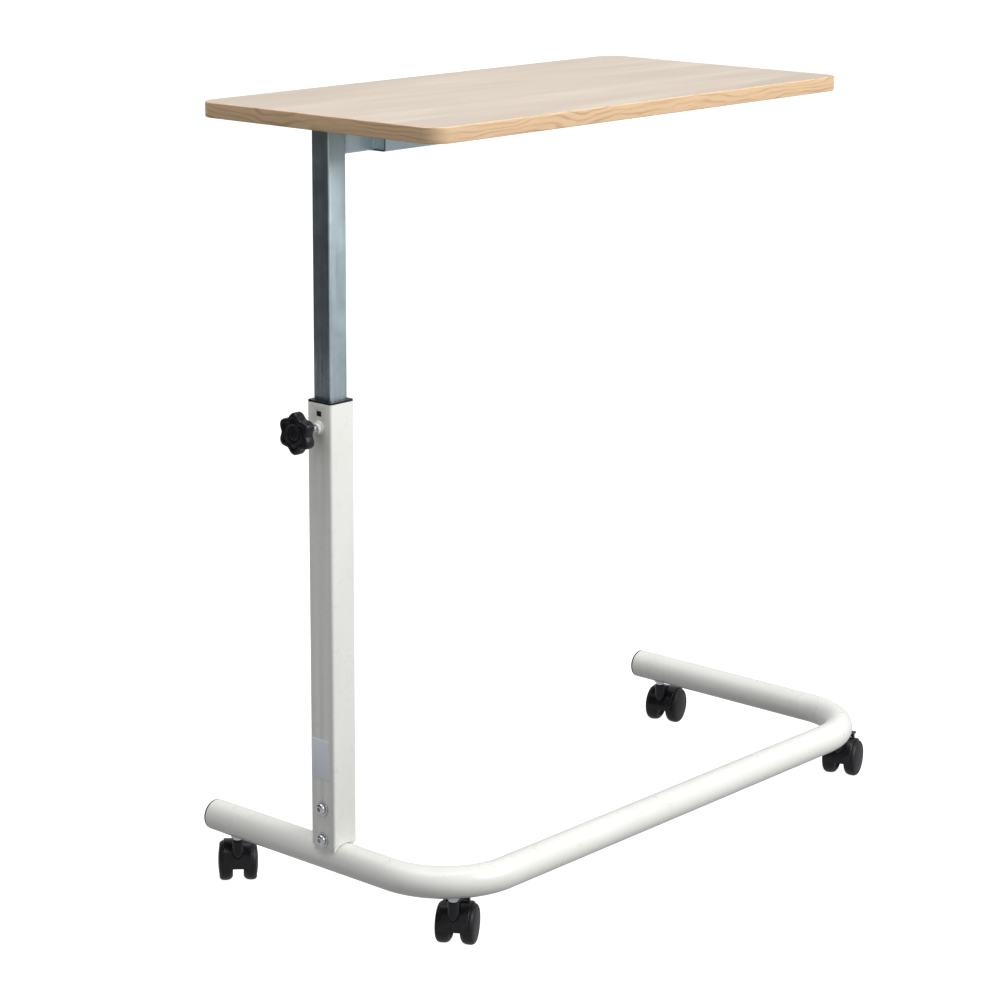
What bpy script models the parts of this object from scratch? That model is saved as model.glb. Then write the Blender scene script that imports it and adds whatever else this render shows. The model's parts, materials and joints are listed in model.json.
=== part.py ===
"""Height-adjustable overbed table on a U-shaped tube base with four twin-wheel castors.

Units are metres and +Z is up.  The floor is z = 0, and the origin is under the middle of the
whole table.  +X runs along the length of the top, away from the post.  -Y is the closed end of
the U-shaped base.  Places along X and Y are counted from the centre line of the post.
"""

import math

import bmesh
import bpy
from mathutils import Vector

# ---------------------------------------------------------------- driving dimensions

GAP = 0.0003                 # room left between pieces that touch
POST_PLACE = (-0.4175, -0.0048)   # the post's centre line, with the whole table over the origin

TUBE_Z = 0.0850              # height of the base tube's centre line
TUBE_RADIUS = 0.0193         # 38.1 mm tube with its powder coat
TUBE_WALL = 0.0018
BEND_RADIUS = 0.0953         # centre line of the bends, two and a half tube diameters
BASE_SPAN = 0.8447           # between the centre lines of the two legs
BASE_HALF_DEPTH = 0.2085     # the base reaches this far in front of the post and behind it
CAP_RIM = 0.0026
CAP_PLUG = 0.0140

POST_SIDE = 0.0386           # outer post, square tube with its powder coat
POST_WALL = 0.0018
POST_CORNER = 0.0030
POST_BOTTOM = TUBE_Z + 0.0160
POST_TOP = TUBE_Z + 0.5583
COPE_TOP = TUBE_Z + 0.0203   # highest point of the shallow arc in the post's foot
COPE_RADIUS = 0.0455

STUB_WALL = 0.0025
STUB_TOP = TUBE_Z + 0.1000
BOLT_HEIGHTS = {"lower": TUBE_Z + 0.0252, "upper": TUBE_Z + 0.0646}
BOLT_RADIUS = 0.0040
BOLT_LENGTH = 0.0180
BOLT_HEAD_RADIUS = 0.0070
BOLT_HEAD_HEIGHT = 0.0044
WASHER_RADIUS = 0.0092
WASHER_THICKNESS = 0.0016
NUT_ACROSS_FLATS = 0.0130
NUT_THICKNESS = 0.0065

MAST_SIDE = 0.0280           # inner post, square tube
MAST_WALL = 0.0020
MAST_CORNER = 0.0025
FOOT_BOTTOM = TUBE_Z + 0.3830
FOOT_HEIGHT = 0.0200
FOOT_PLUG = 0.0220

BUSH_FLANGE = 0.0026
BUSH_DEPTH = 0.0500
LUG_HEIGHT = TUBE_Z + 0.5460
LUG_WIDTH = 0.0075
LUG_TALL = 0.0058

CLAMP_HEIGHT = TUBE_Z + 0.5290
CLAMP_SCREW_RADIUS = 0.0040
PAD_RADIUS = 0.0050
PAD_THICKNESS = 0.0020
BOSS_RADIUS = 0.0066
BOSS_WELD_RADIUS = 0.0092
BOSS_LENGTH = 0.0064
KNOB_RADIUS = 0.0250
KNOB_VALLEY = 0.0203
KNOB_BACK = 0.0285           # back of the star, counted from the post's face
KNOB_FRONT = 0.0425
KNOB_HUB_RADIUS = 0.0080
KNOB_HUB_LENGTH = 0.0075
KNOB_LOBES = 6
KNOB_STEPS = 36

TOP_LENGTH = 0.7600
TOP_WIDTH = 0.3800
TOP_THICKNESS = 0.0180
TOP_CORNER = 0.0260
TOP_OVERHANG = 0.0265        # the top reaches this far past the post's centre line
UNDERSIDE = TUBE_Z + 0.8728
BAND_THICKNESS = 0.0020

ARM_DROP = 0.0010            # room between the arm and the board
ARM_BOTTOM = UNDERSIDE - ARM_DROP - MAST_SIDE
CHANNEL_START = 0.0590
CHANNEL_LENGTH = 0.4700
CHANNEL_WIDTH = 0.0660
CHANNEL_DEPTH = 0.0292
CHANNEL_FLANGE = 0.0160
SHEET = 0.0020
SCREW_SETBACK = 0.0400       # first and last screws from the channel's ends
SCREW_RADIUS = 0.0020
SCREW_HEAD_RADIUS = 0.0042
SCREW_HEAD_HEIGHT = 0.0024
SCREW_DEPTH = 0.0120

LABEL_SIZE = (0.0290, 0.0490)
LABEL_CENTRE = (0.0025, TUBE_Z + 0.1260)
FILM = 0.0003

WHEEL_RADIUS = 0.0250
WHEEL_INNER = 0.0066         # inner and outer faces of a wheel, from the castor's middle plane
WHEEL_OUTER = 0.0250
CASTOR_TRAIL = 0.0235
HOOD_RADIUS = 0.0280
HOOD_SHELL = 0.0022
HOOD_HALF_WIDTH = 0.0180
HOOD_TOP = 0.0610
HOOD_FRONT_DEGREES = 185.0
HOOD_REAR_DEGREES = 35.0
WEB_HALF_WIDTH = 0.0060
SWIVEL_BOSS_RADIUS = 0.0070
SWIVEL_BOSS_BOTTOM = 0.0340
STEM_RADIUS = 0.0050
STEM_PIN_RADIUS = 0.0039
STEM_PIN_LENGTH = 0.0125     # in the hood's blind bore
STEM_COLLAR_RADIUS = 0.0055
SOCKET_RADIUS = 0.0080
SOCKET_PROUD = 0.0008        # the socket stands this far below the tube
SOCKET_TOP = TUBE_Z + 0.0090
STEM_TOP = TUBE_Z + 0.0060
AXLE_RADIUS = 0.0030
AXLE_HALF_LENGTH = 0.0215
RUNNING = 0.0003             # clearance of a turning fit

PEDAL_PIVOT = (0.0262, 0.0560)
PEDAL_TIP = 0.0445
PEDAL_HALF_WIDTH = 0.0120
PEDAL_THICKNESS = 0.0030
PEDAL_PIN_RADIUS = 0.0012
EAR_THICKNESS = 0.0022

CASTOR_SETBACK = 0.0400      # castors on the legs, from the open ends of the base
BEND_CASTOR_DEGREES = {"front_left": 48.0, "front_right": 52.0}   # how far round its bend each stands
BEND_CASTOR_OUTSET = {"front_left": 0.0, "front_right": 0.0060}   # outside the tube's centre line

# ---------------------------------------------------------------- finishes

FINISHES = {
    "white_coat": ((0.83, 0.83, 0.79), 0.30, 0.0),
    "zinc": ((0.45, 0.50, 0.53), 0.38, 1.0),
    "bright_steel": ((0.62, 0.63, 0.65), 0.25, 1.0),
    "black_plastic": ((0.012, 0.012, 0.014), 0.38, 0.0),
    "black_tread": ((0.016, 0.016, 0.018), 0.50, 0.0),
    "nylon": ((0.70, 0.69, 0.64), 0.50, 0.0),
    "brass": ((0.72, 0.53, 0.24), 0.35, 1.0),
    "oak_laminate": ((0.64, 0.54, 0.44), 0.45, 0.0),
    "oak_edge": ((0.70, 0.50, 0.31), 0.45, 0.0),
    "label_film": ((0.78, 0.80, 0.82), 0.40, 0.0),
}

# ---------------------------------------------------------------- mesh tools


def clear_scene():
    for item in list(bpy.data.objects):
        bpy.data.objects.remove(item, do_unlink=True)


def skin(loops, closed=False):
    """Join loops of equal length one after another; the ends are capped or joined together."""
    bm = bmesh.new()
    rows = [[bm.verts.new(point) for point in loop] for loop in loops]
    following = rows[1:] + rows[:1] if closed else rows[1:]
    for row, other in zip(rows, following):
        count = len(row)
        for index in range(count):
            after = (index + 1) % count
            bm.faces.new((row[index], row[after], other[after], other[index]))
    if not closed:
        bm.faces.new(rows[0])
        bm.faces.new(rows[-1])
    bmesh.ops.recalc_face_normals(bm, faces=bm.faces)
    mesh = bpy.data.meshes.new("piece")
    bm.to_mesh(mesh)
    bm.free()
    return mesh


def along(axis, across_a, across_b, distance):
    """A point from two coordinates across an axis and one along it."""
    if axis == "X":
        return Vector((distance, across_a, across_b))
    if axis == "Y":
        return Vector((across_a, distance, across_b))
    return Vector((across_a, across_b, distance))


def circle(radius, steps, centre=(0.0, 0.0)):
    """Outline of a round section, with a corner at the lowest point."""
    turns = [2.0 * math.pi * step / steps - math.pi / 2.0 for step in range(steps)]
    return [(centre[0] + radius * math.cos(turn), centre[1] + radius * math.sin(turn)) for turn in turns]


def arc(radius, start, end, steps, centre=(0.0, 0.0)):
    """Points along an arc between two angles in degrees."""
    angles = [math.radians(start + (end - start) * step / steps) for step in range(steps + 1)]
    return [(centre[0] + radius * math.cos(a), centre[1] + radius * math.sin(a)) for a in angles]


def rounded_rectangle(width, height, radius, steps, centre=(0.0, 0.0)):
    """Outline of a rectangle with round corners."""
    points = []
    for start, side_a, side_b in ((0, 1, 1), (90, -1, 1), (180, -1, -1), (270, 1, -1)):
        corner = (centre[0] + side_a * (width / 2 - radius), centre[1] + side_b * (height / 2 - radius))
        points += arc(radius, start, start + 90, steps, corner)
    return points


def hexagon(across_flats, centre):
    """Outline of a hexagon as 12 points, with flats above and below."""
    points = []
    for step in range(12):
        turn = math.radians(30.0 * step)
        from_flat = math.radians((30.0 * step) % 60.0 - 30.0)
        radius = across_flats / 2.0 / math.cos(from_flat)
        points.append((centre[0] + radius * math.cos(turn), centre[1] + radius * math.sin(turn)))
    return points


def prism(outline, axis, low, high):
    return skin([[along(axis, a, b, end) for a, b in outline] for end in (low, high)])


def pipe(outer, inner, axis, low, high):
    """A hollow section that is open at both ends."""
    order = ((outer, low), (outer, high), (inner, high), (inner, low))
    return skin([[along(axis, a, b, end) for a, b in outline] for outline, end in order], closed=True)


def turned(profile, axis, steps, centre=(0.0, 0.0), closed=False):
    """A turned shape from (distance along the axis, radius) pairs."""
    loops = []
    for distance, radius in profile:
        loops.append([along(axis, a, b, distance) for a, b in circle(radius, steps, centre)])
    return skin(loops, closed)


def box(low, high):
    outline = [(low[0], low[1]), (high[0], low[1]), (high[0], high[1]), (low[0], high[1])]
    return prism(outline, "Z", low[2], high[2])


def boolean(mesh, tool, operation):
    """Join or cut two meshes that share one frame, and return the result."""
    collection = bpy.context.scene.collection
    body = bpy.data.objects.new("body", mesh)
    other = bpy.data.objects.new("tool", tool)
    collection.objects.link(body)
    collection.objects.link(other)
    modifier = body.modifiers.new("boolean", "BOOLEAN")
    modifier.operation = operation
    modifier.solver = "EXACT"
    modifier.object = other
    bpy.context.view_layer.update()
    evaluated = body.evaluated_get(bpy.context.evaluated_depsgraph_get())
    result = bpy.data.meshes.new_from_object(evaluated)
    bpy.data.objects.remove(body, do_unlink=True)
    bpy.data.objects.remove(other, do_unlink=True)
    return result


def cut(mesh, *tools):
    for tool in tools:
        mesh = boolean(mesh, tool, "DIFFERENCE")
    return mesh


def join(mesh, *tools):
    for tool in tools:
        mesh = boolean(mesh, tool, "UNION")
    return mesh


def smooth(mesh, sharp_degrees=40.0):
    mesh.shade_smooth()
    mesh.set_sharp_from_angle(angle=math.radians(sharp_degrees))
    return mesh


# ---------------------------------------------------------------- scene tools


def finish(name, kind):
    """A material of the piece's own."""
    colour, roughness, metallic = FINISHES[kind]
    material = bpy.data.materials.new(name + "_" + kind)
    material.use_nodes = True
    shader = material.node_tree.nodes["Principled BSDF"]
    shader.inputs["Base Color"].default_value = (*colour, 1.0)
    shader.inputs["Roughness"].default_value = roughness
    shader.inputs["Metallic"].default_value = metallic
    return material


def add_empty(name, location, turn=0.0, parent=None):
    empty = bpy.data.objects.new(name, None)
    empty.empty_display_size = 0.02
    empty.location = location
    empty.rotation_euler = (0.0, 0.0, turn)
    empty.parent = parent
    bpy.context.scene.collection.objects.link(empty)
    return empty


def add_piece(name, mesh, kind, parent, location=(0.0, 0.0, 0.0)):
    piece = bpy.data.objects.new(name, mesh.copy())
    piece.data.name = name
    piece.data.materials.clear()
    piece.data.materials.append(finish(name, kind))
    piece.parent = parent
    piece.location = location
    bpy.context.scene.collection.objects.link(piece)
    return piece


# ---------------------------------------------------------------- base


def base_path():
    """Stations along the base tube's centre line, each with the direction that the tube runs."""
    end = BASE_HALF_DEPTH - CAP_RIM - GAP
    front = TUBE_RADIUS - BASE_HALF_DEPTH
    stations = [(Vector((0.0, end)), Vector((0.0, -1.0)))]
    for side, start in ((0, 180.0), (1, 270.0)):
        centre_x = BASE_SPAN - BEND_RADIUS if side else BEND_RADIUS
        for x, y in arc(BEND_RADIUS, start, start + 90.0, 7, (centre_x, front + BEND_RADIUS)):
            radial = Vector((x - centre_x, y - front - BEND_RADIUS)).normalized()
            stations.append((Vector((x, y)), Vector((-radial.y, radial.x))))
    stations.append((Vector((BASE_SPAN, end)), Vector((0.0, 1.0))))
    return stations


def base_tube():
    loops = {}
    for radius in (TUBE_RADIUS, TUBE_RADIUS - TUBE_WALL):
        loops[radius] = []
        for place, heading in base_path():
            sideways = Vector((heading.y, -heading.x, 0.0))
            centre = Vector((place.x, place.y, TUBE_Z))
            section = [centre + sideways * a + Vector((0.0, 0.0, b)) for a, b in circle(radius, 16)]
            loops[radius].append(section)
    outside, inside = loops.values()
    mesh = skin(outside + inside[::-1], closed=True)
    for x, y in castor_places().values():
        hole = circle(SOCKET_RADIUS + GAP, 16, (x, y))
        mesh = cut(mesh, prism(hole, "Z", TUBE_Z - 0.04, TUBE_Z))
    return smooth(mesh)


def end_cap(x):
    """Rim with a slightly domed face, and the plug that holds it in the tube."""
    bore = TUBE_RADIUS - TUBE_WALL - GAP
    end = BASE_HALF_DEPTH
    profile = (
        (end - CAP_RIM - CAP_PLUG, bore - 0.0010),
        (end - CAP_RIM - CAP_PLUG + 0.0020, bore),
        (end - CAP_RIM, bore),
        (end - CAP_RIM, TUBE_RADIUS),
        (end - 0.0010, TUBE_RADIUS),
        (end - 0.0002, TUBE_RADIUS - 0.0010),
        (end, TUBE_RADIUS - 0.0040),
    )
    return smooth(turned(profile, "Y", 16, (x, TUBE_Z)), 35.0)


def castor_places():
    """Where each castor's stem stands, counted from the post."""
    rear = BASE_HALF_DEPTH - CASTOR_SETBACK
    bend_centre_y = TUBE_RADIUS - BASE_HALF_DEPTH + BEND_RADIUS
    places = {"rear_left": (0.0, rear), "rear_right": (BASE_SPAN, rear)}
    bends = (("front_left", BEND_RADIUS, 180.0), ("front_right", BASE_SPAN - BEND_RADIUS, 270.0))
    for corner, bend_centre_x, start in bends:
        turn = math.radians(start + BEND_CASTOR_DEGREES[corner])
        reach = BEND_RADIUS + BEND_CASTOR_OUTSET[corner]
        places[corner] = (bend_centre_x + reach * math.cos(turn), bend_centre_y + reach * math.sin(turn))
    return places


def post_stub():
    """Square tube welded upright on the base tube, which it meets in a saddle cut."""
    side = POST_SIDE - 2 * POST_WALL - 2 * GAP
    outer = rounded_rectangle(side, side, 0.0020, 3)
    inner = rounded_rectangle(side - 2 * STUB_WALL, side - 2 * STUB_WALL, 0.0010, 3)
    mesh = pipe(outer, inner, "Z", TUBE_Z, STUB_TOP)
    saddle = circle(TUBE_RADIUS + 2 * GAP, 16, (0.0, TUBE_Z))
    mesh = cut(mesh, prism(saddle, "Y", -0.04, 0.04))
    return cut(mesh, *bolt_holes())


def bolt_holes():
    holes = []
    for height in BOLT_HEIGHTS.values():
        hole = circle(BOLT_RADIUS + GAP, 12, (0.0, height))
        holes.append(prism(hole, "X", -POST_SIDE, 0.0))
    return holes


def outer_post():
    bore = POST_SIDE - 2 * POST_WALL
    outer = rounded_rectangle(POST_SIDE, POST_SIDE, POST_CORNER, 4)
    inner = rounded_rectangle(bore, bore, POST_CORNER - POST_WALL, 4)
    mesh = pipe(outer, inner, "Z", POST_BOTTOM, POST_TOP)
    cope = circle(COPE_RADIUS, 48, (0.0, COPE_TOP - COPE_RADIUS))
    mesh = cut(mesh, prism(cope, "Y", -0.04, 0.04))
    window_low = (-POST_SIDE, -LUG_WIDTH / 2 - GAP, LUG_HEIGHT - LUG_TALL / 2 - GAP)
    window_high = (-MAST_SIDE / 2, LUG_WIDTH / 2 + GAP, LUG_HEIGHT + LUG_TALL / 2 + GAP)
    mesh = cut(mesh, box(window_low, window_high))
    screw_hole = circle(PAD_RADIUS + 2 * GAP, 16, (0.0, CLAMP_HEIGHT))
    mesh = cut(mesh, prism(screw_hole, "X", -POST_SIDE, 0.0))
    return cut(mesh, *bolt_holes())


def post_washer(height):
    face = -POST_SIDE / 2 - GAP
    outer = circle(WASHER_RADIUS, 16, (0.0, height))
    inner = circle(BOLT_RADIUS + GAP, 16, (0.0, height))
    return smooth(pipe(outer, inner, "X", face - WASHER_THICKNESS, face))


def post_bolt(height):
    """Button-head bolt with a hexagon socket."""
    seat = -POST_SIDE / 2 - 2 * GAP - WASHER_THICKNESS
    crown = seat - BOLT_HEAD_HEIGHT
    profile = (
        (seat + BOLT_LENGTH, BOLT_RADIUS - 0.0006),
        (seat + BOLT_LENGTH - 0.0010, BOLT_RADIUS),
        (seat, BOLT_RADIUS),
        (seat, BOLT_HEAD_RADIUS),
        (seat - BOLT_HEAD_HEIGHT * 0.30, BOLT_HEAD_RADIUS * 0.97),
        (seat - BOLT_HEAD_HEIGHT * 0.70, BOLT_HEAD_RADIUS * 0.83),
        (crown, BOLT_HEAD_RADIUS * 0.55),
    )
    mesh = turned(profile, "X", 16, (0.0, height))
    socket = hexagon(0.0050, (0.0, height))
    mesh = cut(mesh, prism(socket, "X", crown - 0.001, crown + 0.0026))
    return smooth(mesh, 30.0)


def post_nut(height):
    wall = -POST_SIDE / 2 + POST_WALL + STUB_WALL + 2 * GAP
    outer = hexagon(NUT_ACROSS_FLATS, (0.0, height))
    inner = arc(BOLT_RADIUS + GAP, 0.0, 330.0, 11, (0.0, height))
    return pipe(outer, inner, "X", wall, wall + NUT_THICKNESS)


def post_label():
    face = -POST_SIDE / 2 - GAP
    outline = rounded_rectangle(LABEL_SIZE[0], LABEL_SIZE[1], 0.0015, 3, LABEL_CENTRE)
    return prism(outline, "X", face - FILM, face)


def post_bush():
    """Sleeve in the mouth of the outer post, with a flange over its edge and a snap-in lug."""
    bore_side = MAST_SIDE + 2 * GAP
    bore = rounded_rectangle(bore_side, bore_side, MAST_CORNER, 4)
    sleeve_side = POST_SIDE - 2 * POST_WALL - 2 * GAP
    sleeve = rounded_rectangle(sleeve_side, sleeve_side, 0.0010, 4)
    flange = rounded_rectangle(POST_SIDE, POST_SIDE, POST_CORNER, 4)
    bevelled = rounded_rectangle(POST_SIDE - 0.0016, POST_SIDE - 0.0016, POST_CORNER - 0.0008, 4)
    seat = POST_TOP + GAP
    top = POST_TOP + BUSH_FLANGE
    order = (
        (sleeve, POST_TOP - BUSH_DEPTH), (sleeve, seat), (flange, seat), (flange, top - 0.0008),
        (bevelled, top), (bore, top), (bore, POST_TOP - BUSH_DEPTH),
    )
    mesh = skin([[Vector((a, b, z)) for a, b in outline] for outline, z in order], closed=True)
    lug_low = (-POST_SIDE / 2 + 0.0004, -LUG_WIDTH / 2, LUG_HEIGHT - LUG_TALL / 2)
    lug_high = (-sleeve_side / 2 + 0.0010, LUG_WIDTH / 2, LUG_HEIGHT + LUG_TALL / 2)
    mesh = join(mesh, box(lug_low, lug_high))
    pad_hole = circle(PAD_RADIUS + 2 * GAP, 16, (0.0, CLAMP_HEIGHT))
    return cut(mesh, prism(pad_hole, "X", -POST_SIDE, 0.0))


# ---------------------------------------------------------------- clamp


def clamp_boss():
    """Weld nut on the post's side, which the clamp screw runs in."""
    face = -POST_SIDE / 2 - GAP
    bore = CLAMP_SCREW_RADIUS + GAP
    profile = (
        (face, bore),
        (face, BOSS_WELD_RADIUS),
        (face - 0.0010, BOSS_RADIUS + 0.0010),
        (face - 0.0024, BOSS_RADIUS),
        (face - BOSS_LENGTH + 0.0008, BOSS_RADIUS),
        (face - BOSS_LENGTH, BOSS_RADIUS - 0.0008),
        (face - BOSS_LENGTH, bore),
    )
    return smooth(turned(profile, "X", 16, (0.0, CLAMP_HEIGHT), closed=True))


def clamp_pad():
    """Pressure pad between the screw's end and the inner post; its origin is on the screw's axis."""
    face = -MAST_SIDE / 2 - GAP
    return smooth(turned(((face - PAD_THICKNESS, PAD_RADIUS), (face, PAD_RADIUS)), "X", 16))


def clamp_stud():
    tip = -MAST_SIDE / 2 - PAD_THICKNESS - 2 * GAP
    inside_knob = -POST_SIDE / 2 - KNOB_FRONT + 0.0060
    profile = (
        (tip, CLAMP_SCREW_RADIUS - 0.0008),
        (tip - 0.0008, CLAMP_SCREW_RADIUS),
        (inside_knob, CLAMP_SCREW_RADIUS),
    )
    return smooth(turned(profile, "X", 12))


def star(inset):
    """Outline of the knob, whose radius swings between its valleys and its lobes."""
    middle = (KNOB_RADIUS + KNOB_VALLEY) / 2
    swing = (KNOB_RADIUS - KNOB_VALLEY) / 2
    points = []
    for step in range(KNOB_STEPS):
        turn = 2.0 * math.pi * step / KNOB_STEPS - math.pi / 2.0
        radius = middle + swing * math.cos(KNOB_LOBES * (turn + math.pi / 2.0)) - inset
        points.append((radius * math.cos(turn), radius * math.sin(turn)))
    return points


def clamp_knob():
    """Star knob with a blind hole for the screw at its back."""
    face = -POST_SIDE / 2
    back = face - KNOB_BACK
    hub = back + KNOB_HUB_LENGTH
    front = face - KNOB_FRONT
    bore = circle(CLAMP_SCREW_RADIUS + GAP, KNOB_STEPS)
    rounding = 0.0030
    order = (
        (bore, front + 0.0055), (bore, hub), (circle(KNOB_HUB_RADIUS, KNOB_STEPS), hub),
        (circle(KNOB_HUB_RADIUS + 0.0010, KNOB_STEPS), back), (star(rounding), back),
        (star(0.0), back - rounding), (star(0.0), front + rounding), (star(rounding), front),
        (circle(KNOB_VALLEY - 0.0060, KNOB_STEPS), front),
        (circle(KNOB_VALLEY - 0.0080, KNOB_STEPS), front + 0.0010),
        (circle(0.0020, KNOB_STEPS), front + 0.0010),
    )
    return smooth(skin([[Vector((x, a, b)) for a, b in outline] for outline, x in order]))


# ---------------------------------------------------------------- mast and top


def inner_post():
    outer = rounded_rectangle(MAST_SIDE, MAST_SIDE, MAST_CORNER, 4)
    inner_side = MAST_SIDE - 2 * MAST_WALL
    inner = rounded_rectangle(inner_side, inner_side, 0.0010, 4)
    return pipe(outer, inner, "Z", FOOT_BOTTOM + FOOT_HEIGHT + GAP, UNDERSIDE - GAP)


def inner_post_foot():
    """Guide that slides in the outer post, with a plug in the inner post's end."""
    side = POST_SIDE - 2 * POST_WALL - 2 * GAP
    plug_side = MAST_SIDE - 2 * MAST_WALL - 2 * GAP
    guide = rounded_rectangle(side, side, 0.0012, 3)
    narrow = rounded_rectangle(side - 0.0020, side - 0.0020, 0.0012, 3)
    plug = rounded_rectangle(plug_side, plug_side, 0.0010, 3)
    order = (
        (narrow, FOOT_BOTTOM), (guide, FOOT_BOTTOM + 0.0015), (guide, FOOT_BOTTOM + FOOT_HEIGHT),
        (plug, FOOT_BOTTOM + FOOT_HEIGHT), (plug, FOOT_BOTTOM + FOOT_HEIGHT + FOOT_PLUG),
    )
    return skin([[Vector((a, b, z)) for a, b in outline] for outline, z in order])


def support_arm():
    """Square tube welded to the mast, which carries the channel."""
    centre = (0.0, ARM_BOTTOM + MAST_SIDE / 2)
    outer = rounded_rectangle(MAST_SIDE, MAST_SIDE, MAST_CORNER, 4, centre)
    inner_side = MAST_SIDE - 2 * MAST_WALL
    inner = rounded_rectangle(inner_side, inner_side, 0.0010, 4, centre)
    return pipe(outer, inner, "X", MAST_SIDE / 2 + GAP, CHANNEL_START - GAP)


def screw_places():
    end = CHANNEL_START + CHANNEL_LENGTH
    stations = (CHANNEL_START + SCREW_SETBACK, (CHANNEL_START + end) / 2, end - SCREW_SETBACK)
    offset = CHANNEL_WIDTH / 2 + CHANNEL_FLANGE / 2
    return [(x, side * offset) for side in (-1, 1) for x in stations]


def top_channel():
    """Folded pan with closed ends and a flange along each side, open towards the board."""
    top = UNDERSIDE - GAP
    bottom = top - CHANNEL_DEPTH
    end = CHANNEL_START + CHANNEL_LENGTH
    half = CHANNEL_WIDTH / 2
    reach = half + CHANNEL_FLANGE
    mesh = join(
        box((CHANNEL_START, -half, bottom), (end, half, top - SHEET / 2)),
        box((CHANNEL_START, -reach, top - SHEET), (end, reach, top)),
    )
    hollow_low = (CHANNEL_START + SHEET, SHEET - half, bottom + SHEET)
    hollow_high = (end - SHEET, half - SHEET, top + SHEET)
    mesh = cut(mesh, box(hollow_low, hollow_high))
    for place in screw_places():
        mesh = cut(mesh, prism(circle(SCREW_RADIUS + GAP, 12, place), "Z", top - 0.01, top + 0.01))
    return mesh


def top_screw(place):
    """Pan-head screw, driven up through the channel's flange into the board."""
    seat = UNDERSIDE - 2 * GAP - SHEET
    profile = (
        (seat - SCREW_HEAD_HEIGHT, SCREW_HEAD_RADIUS * 0.60),
        (seat - SCREW_HEAD_HEIGHT * 0.60, SCREW_HEAD_RADIUS * 0.90),
        (seat, SCREW_HEAD_RADIUS),
        (seat, SCREW_RADIUS),
        (UNDERSIDE + SCREW_DEPTH - 0.0030, SCREW_RADIUS),
        (UNDERSIDE + SCREW_DEPTH, SCREW_RADIUS * 0.30),
    )
    return smooth(turned(profile, "Z", 12, place))


def tabletop_outline(inset):
    centre = (TOP_LENGTH / 2 - TOP_OVERHANG, 0.0)
    width = TOP_LENGTH - 2 * inset
    depth = TOP_WIDTH - 2 * inset
    return rounded_rectangle(width, depth, TOP_CORNER - inset, 8, centre)


def tabletop_board():
    mesh = prism(tabletop_outline(BAND_THICKNESS + GAP), "Z", UNDERSIDE, UNDERSIDE + TOP_THICKNESS)
    for place in screw_places():
        hole = circle(SCREW_RADIUS + GAP, 12, place)
        mesh = cut(mesh, prism(hole, "Z", UNDERSIDE - 0.01, UNDERSIDE + SCREW_DEPTH + 0.0010))
    return mesh


def edge_band():
    mesh = pipe(tabletop_outline(0.0), tabletop_outline(BAND_THICKNESS), "Z",
                UNDERSIDE, UNDERSIDE + TOP_THICKNESS)
    return smooth(mesh)


# ---------------------------------------------------------------- castors
# Each castor is drawn around its swivel axis, with the wheels trailing towards +X.


def castor_socket():
    """Blind insert in the base tube that holds the stem."""
    bottom = TUBE_Z - TUBE_RADIUS - SOCKET_PROUD
    profile = (
        (STEM_TOP + GAP, STEM_RADIUS + GAP),
        (bottom, STEM_RADIUS + GAP),
        (bottom, SOCKET_RADIUS),
        (SOCKET_TOP, SOCKET_RADIUS),
    )
    return smooth(turned(profile, "Z", 12))


def castor_stem():
    """Stem fixed in the socket; the hood turns on its lower pin."""
    collar_top = TUBE_Z - TUBE_RADIUS - SOCKET_PROUD - GAP
    profile = (
        (HOOD_TOP - STEM_PIN_LENGTH, STEM_PIN_RADIUS - 0.0008),
        (HOOD_TOP - STEM_PIN_LENGTH + 0.0008, STEM_PIN_RADIUS),
        (HOOD_TOP + GAP, STEM_PIN_RADIUS),
        (HOOD_TOP + GAP, STEM_COLLAR_RADIUS),
        (collar_top, STEM_COLLAR_RADIUS),
        (collar_top, STEM_RADIUS),
        (STEM_TOP - 0.0008, STEM_RADIUS),
        (STEM_TOP, STEM_RADIUS - 0.0008),
    )
    return smooth(turned(profile, "Z", 12))


def castor_hood(braked):
    """Housing over the wheels: a curved shell, a web between the wheels and the swivel boss."""
    axle = (CASTOR_TRAIL, WHEEL_RADIUS)
    inner_radius = HOOD_RADIUS - HOOD_SHELL
    outside = arc(HOOD_RADIUS, HOOD_REAR_DEGREES, HOOD_FRONT_DEGREES, 11, axle)
    inside = arc(inner_radius, HOOD_FRONT_DEGREES, HOOD_REAR_DEGREES, 11, axle)
    mesh = prism(outside + inside, "Y", -HOOD_HALF_WIDTH, HOOD_HALF_WIDTH)
    rim = inner_radius + HOOD_SHELL / 2
    web = arc(rim, HOOD_REAR_DEGREES + 6.0, HOOD_FRONT_DEGREES - 8.0, 8, axle)
    web += arc(0.0080, 240.0, 330.0, 5, axle)
    mesh = join(mesh, prism(web, "Y", -WEB_HALF_WIDTH, WEB_HALF_WIDTH))
    boss_profile = (
        (SWIVEL_BOSS_BOTTOM, SWIVEL_BOSS_RADIUS * 0.30),
        (SWIVEL_BOSS_BOTTOM + 0.0050, SWIVEL_BOSS_RADIUS * 0.74),
        (SWIVEL_BOSS_BOTTOM + 0.0100, SWIVEL_BOSS_RADIUS),
        (HOOD_TOP, SWIVEL_BOSS_RADIUS),
    )
    boss = turned(boss_profile, "Z", 16)
    reach = prism(circle(rim, 32, axle), "Y", -0.02, 0.02)
    mesh = join(mesh, cut(boss, reach))
    if braked:
        for side in (-1, 1):
            mesh = join(mesh, brake_ear(side))
    blind_end = HOOD_TOP - STEM_PIN_LENGTH - 0.0005
    pin = prism(circle(STEM_PIN_RADIUS + RUNNING, 12), "Z", blind_end, HOOD_TOP + 0.01)
    bore = prism(circle(AXLE_RADIUS + RUNNING, 12, axle), "Y", -0.02, 0.02)
    mesh = cut(mesh, pin, bore)
    return smooth(mesh, 30.0)


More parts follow.
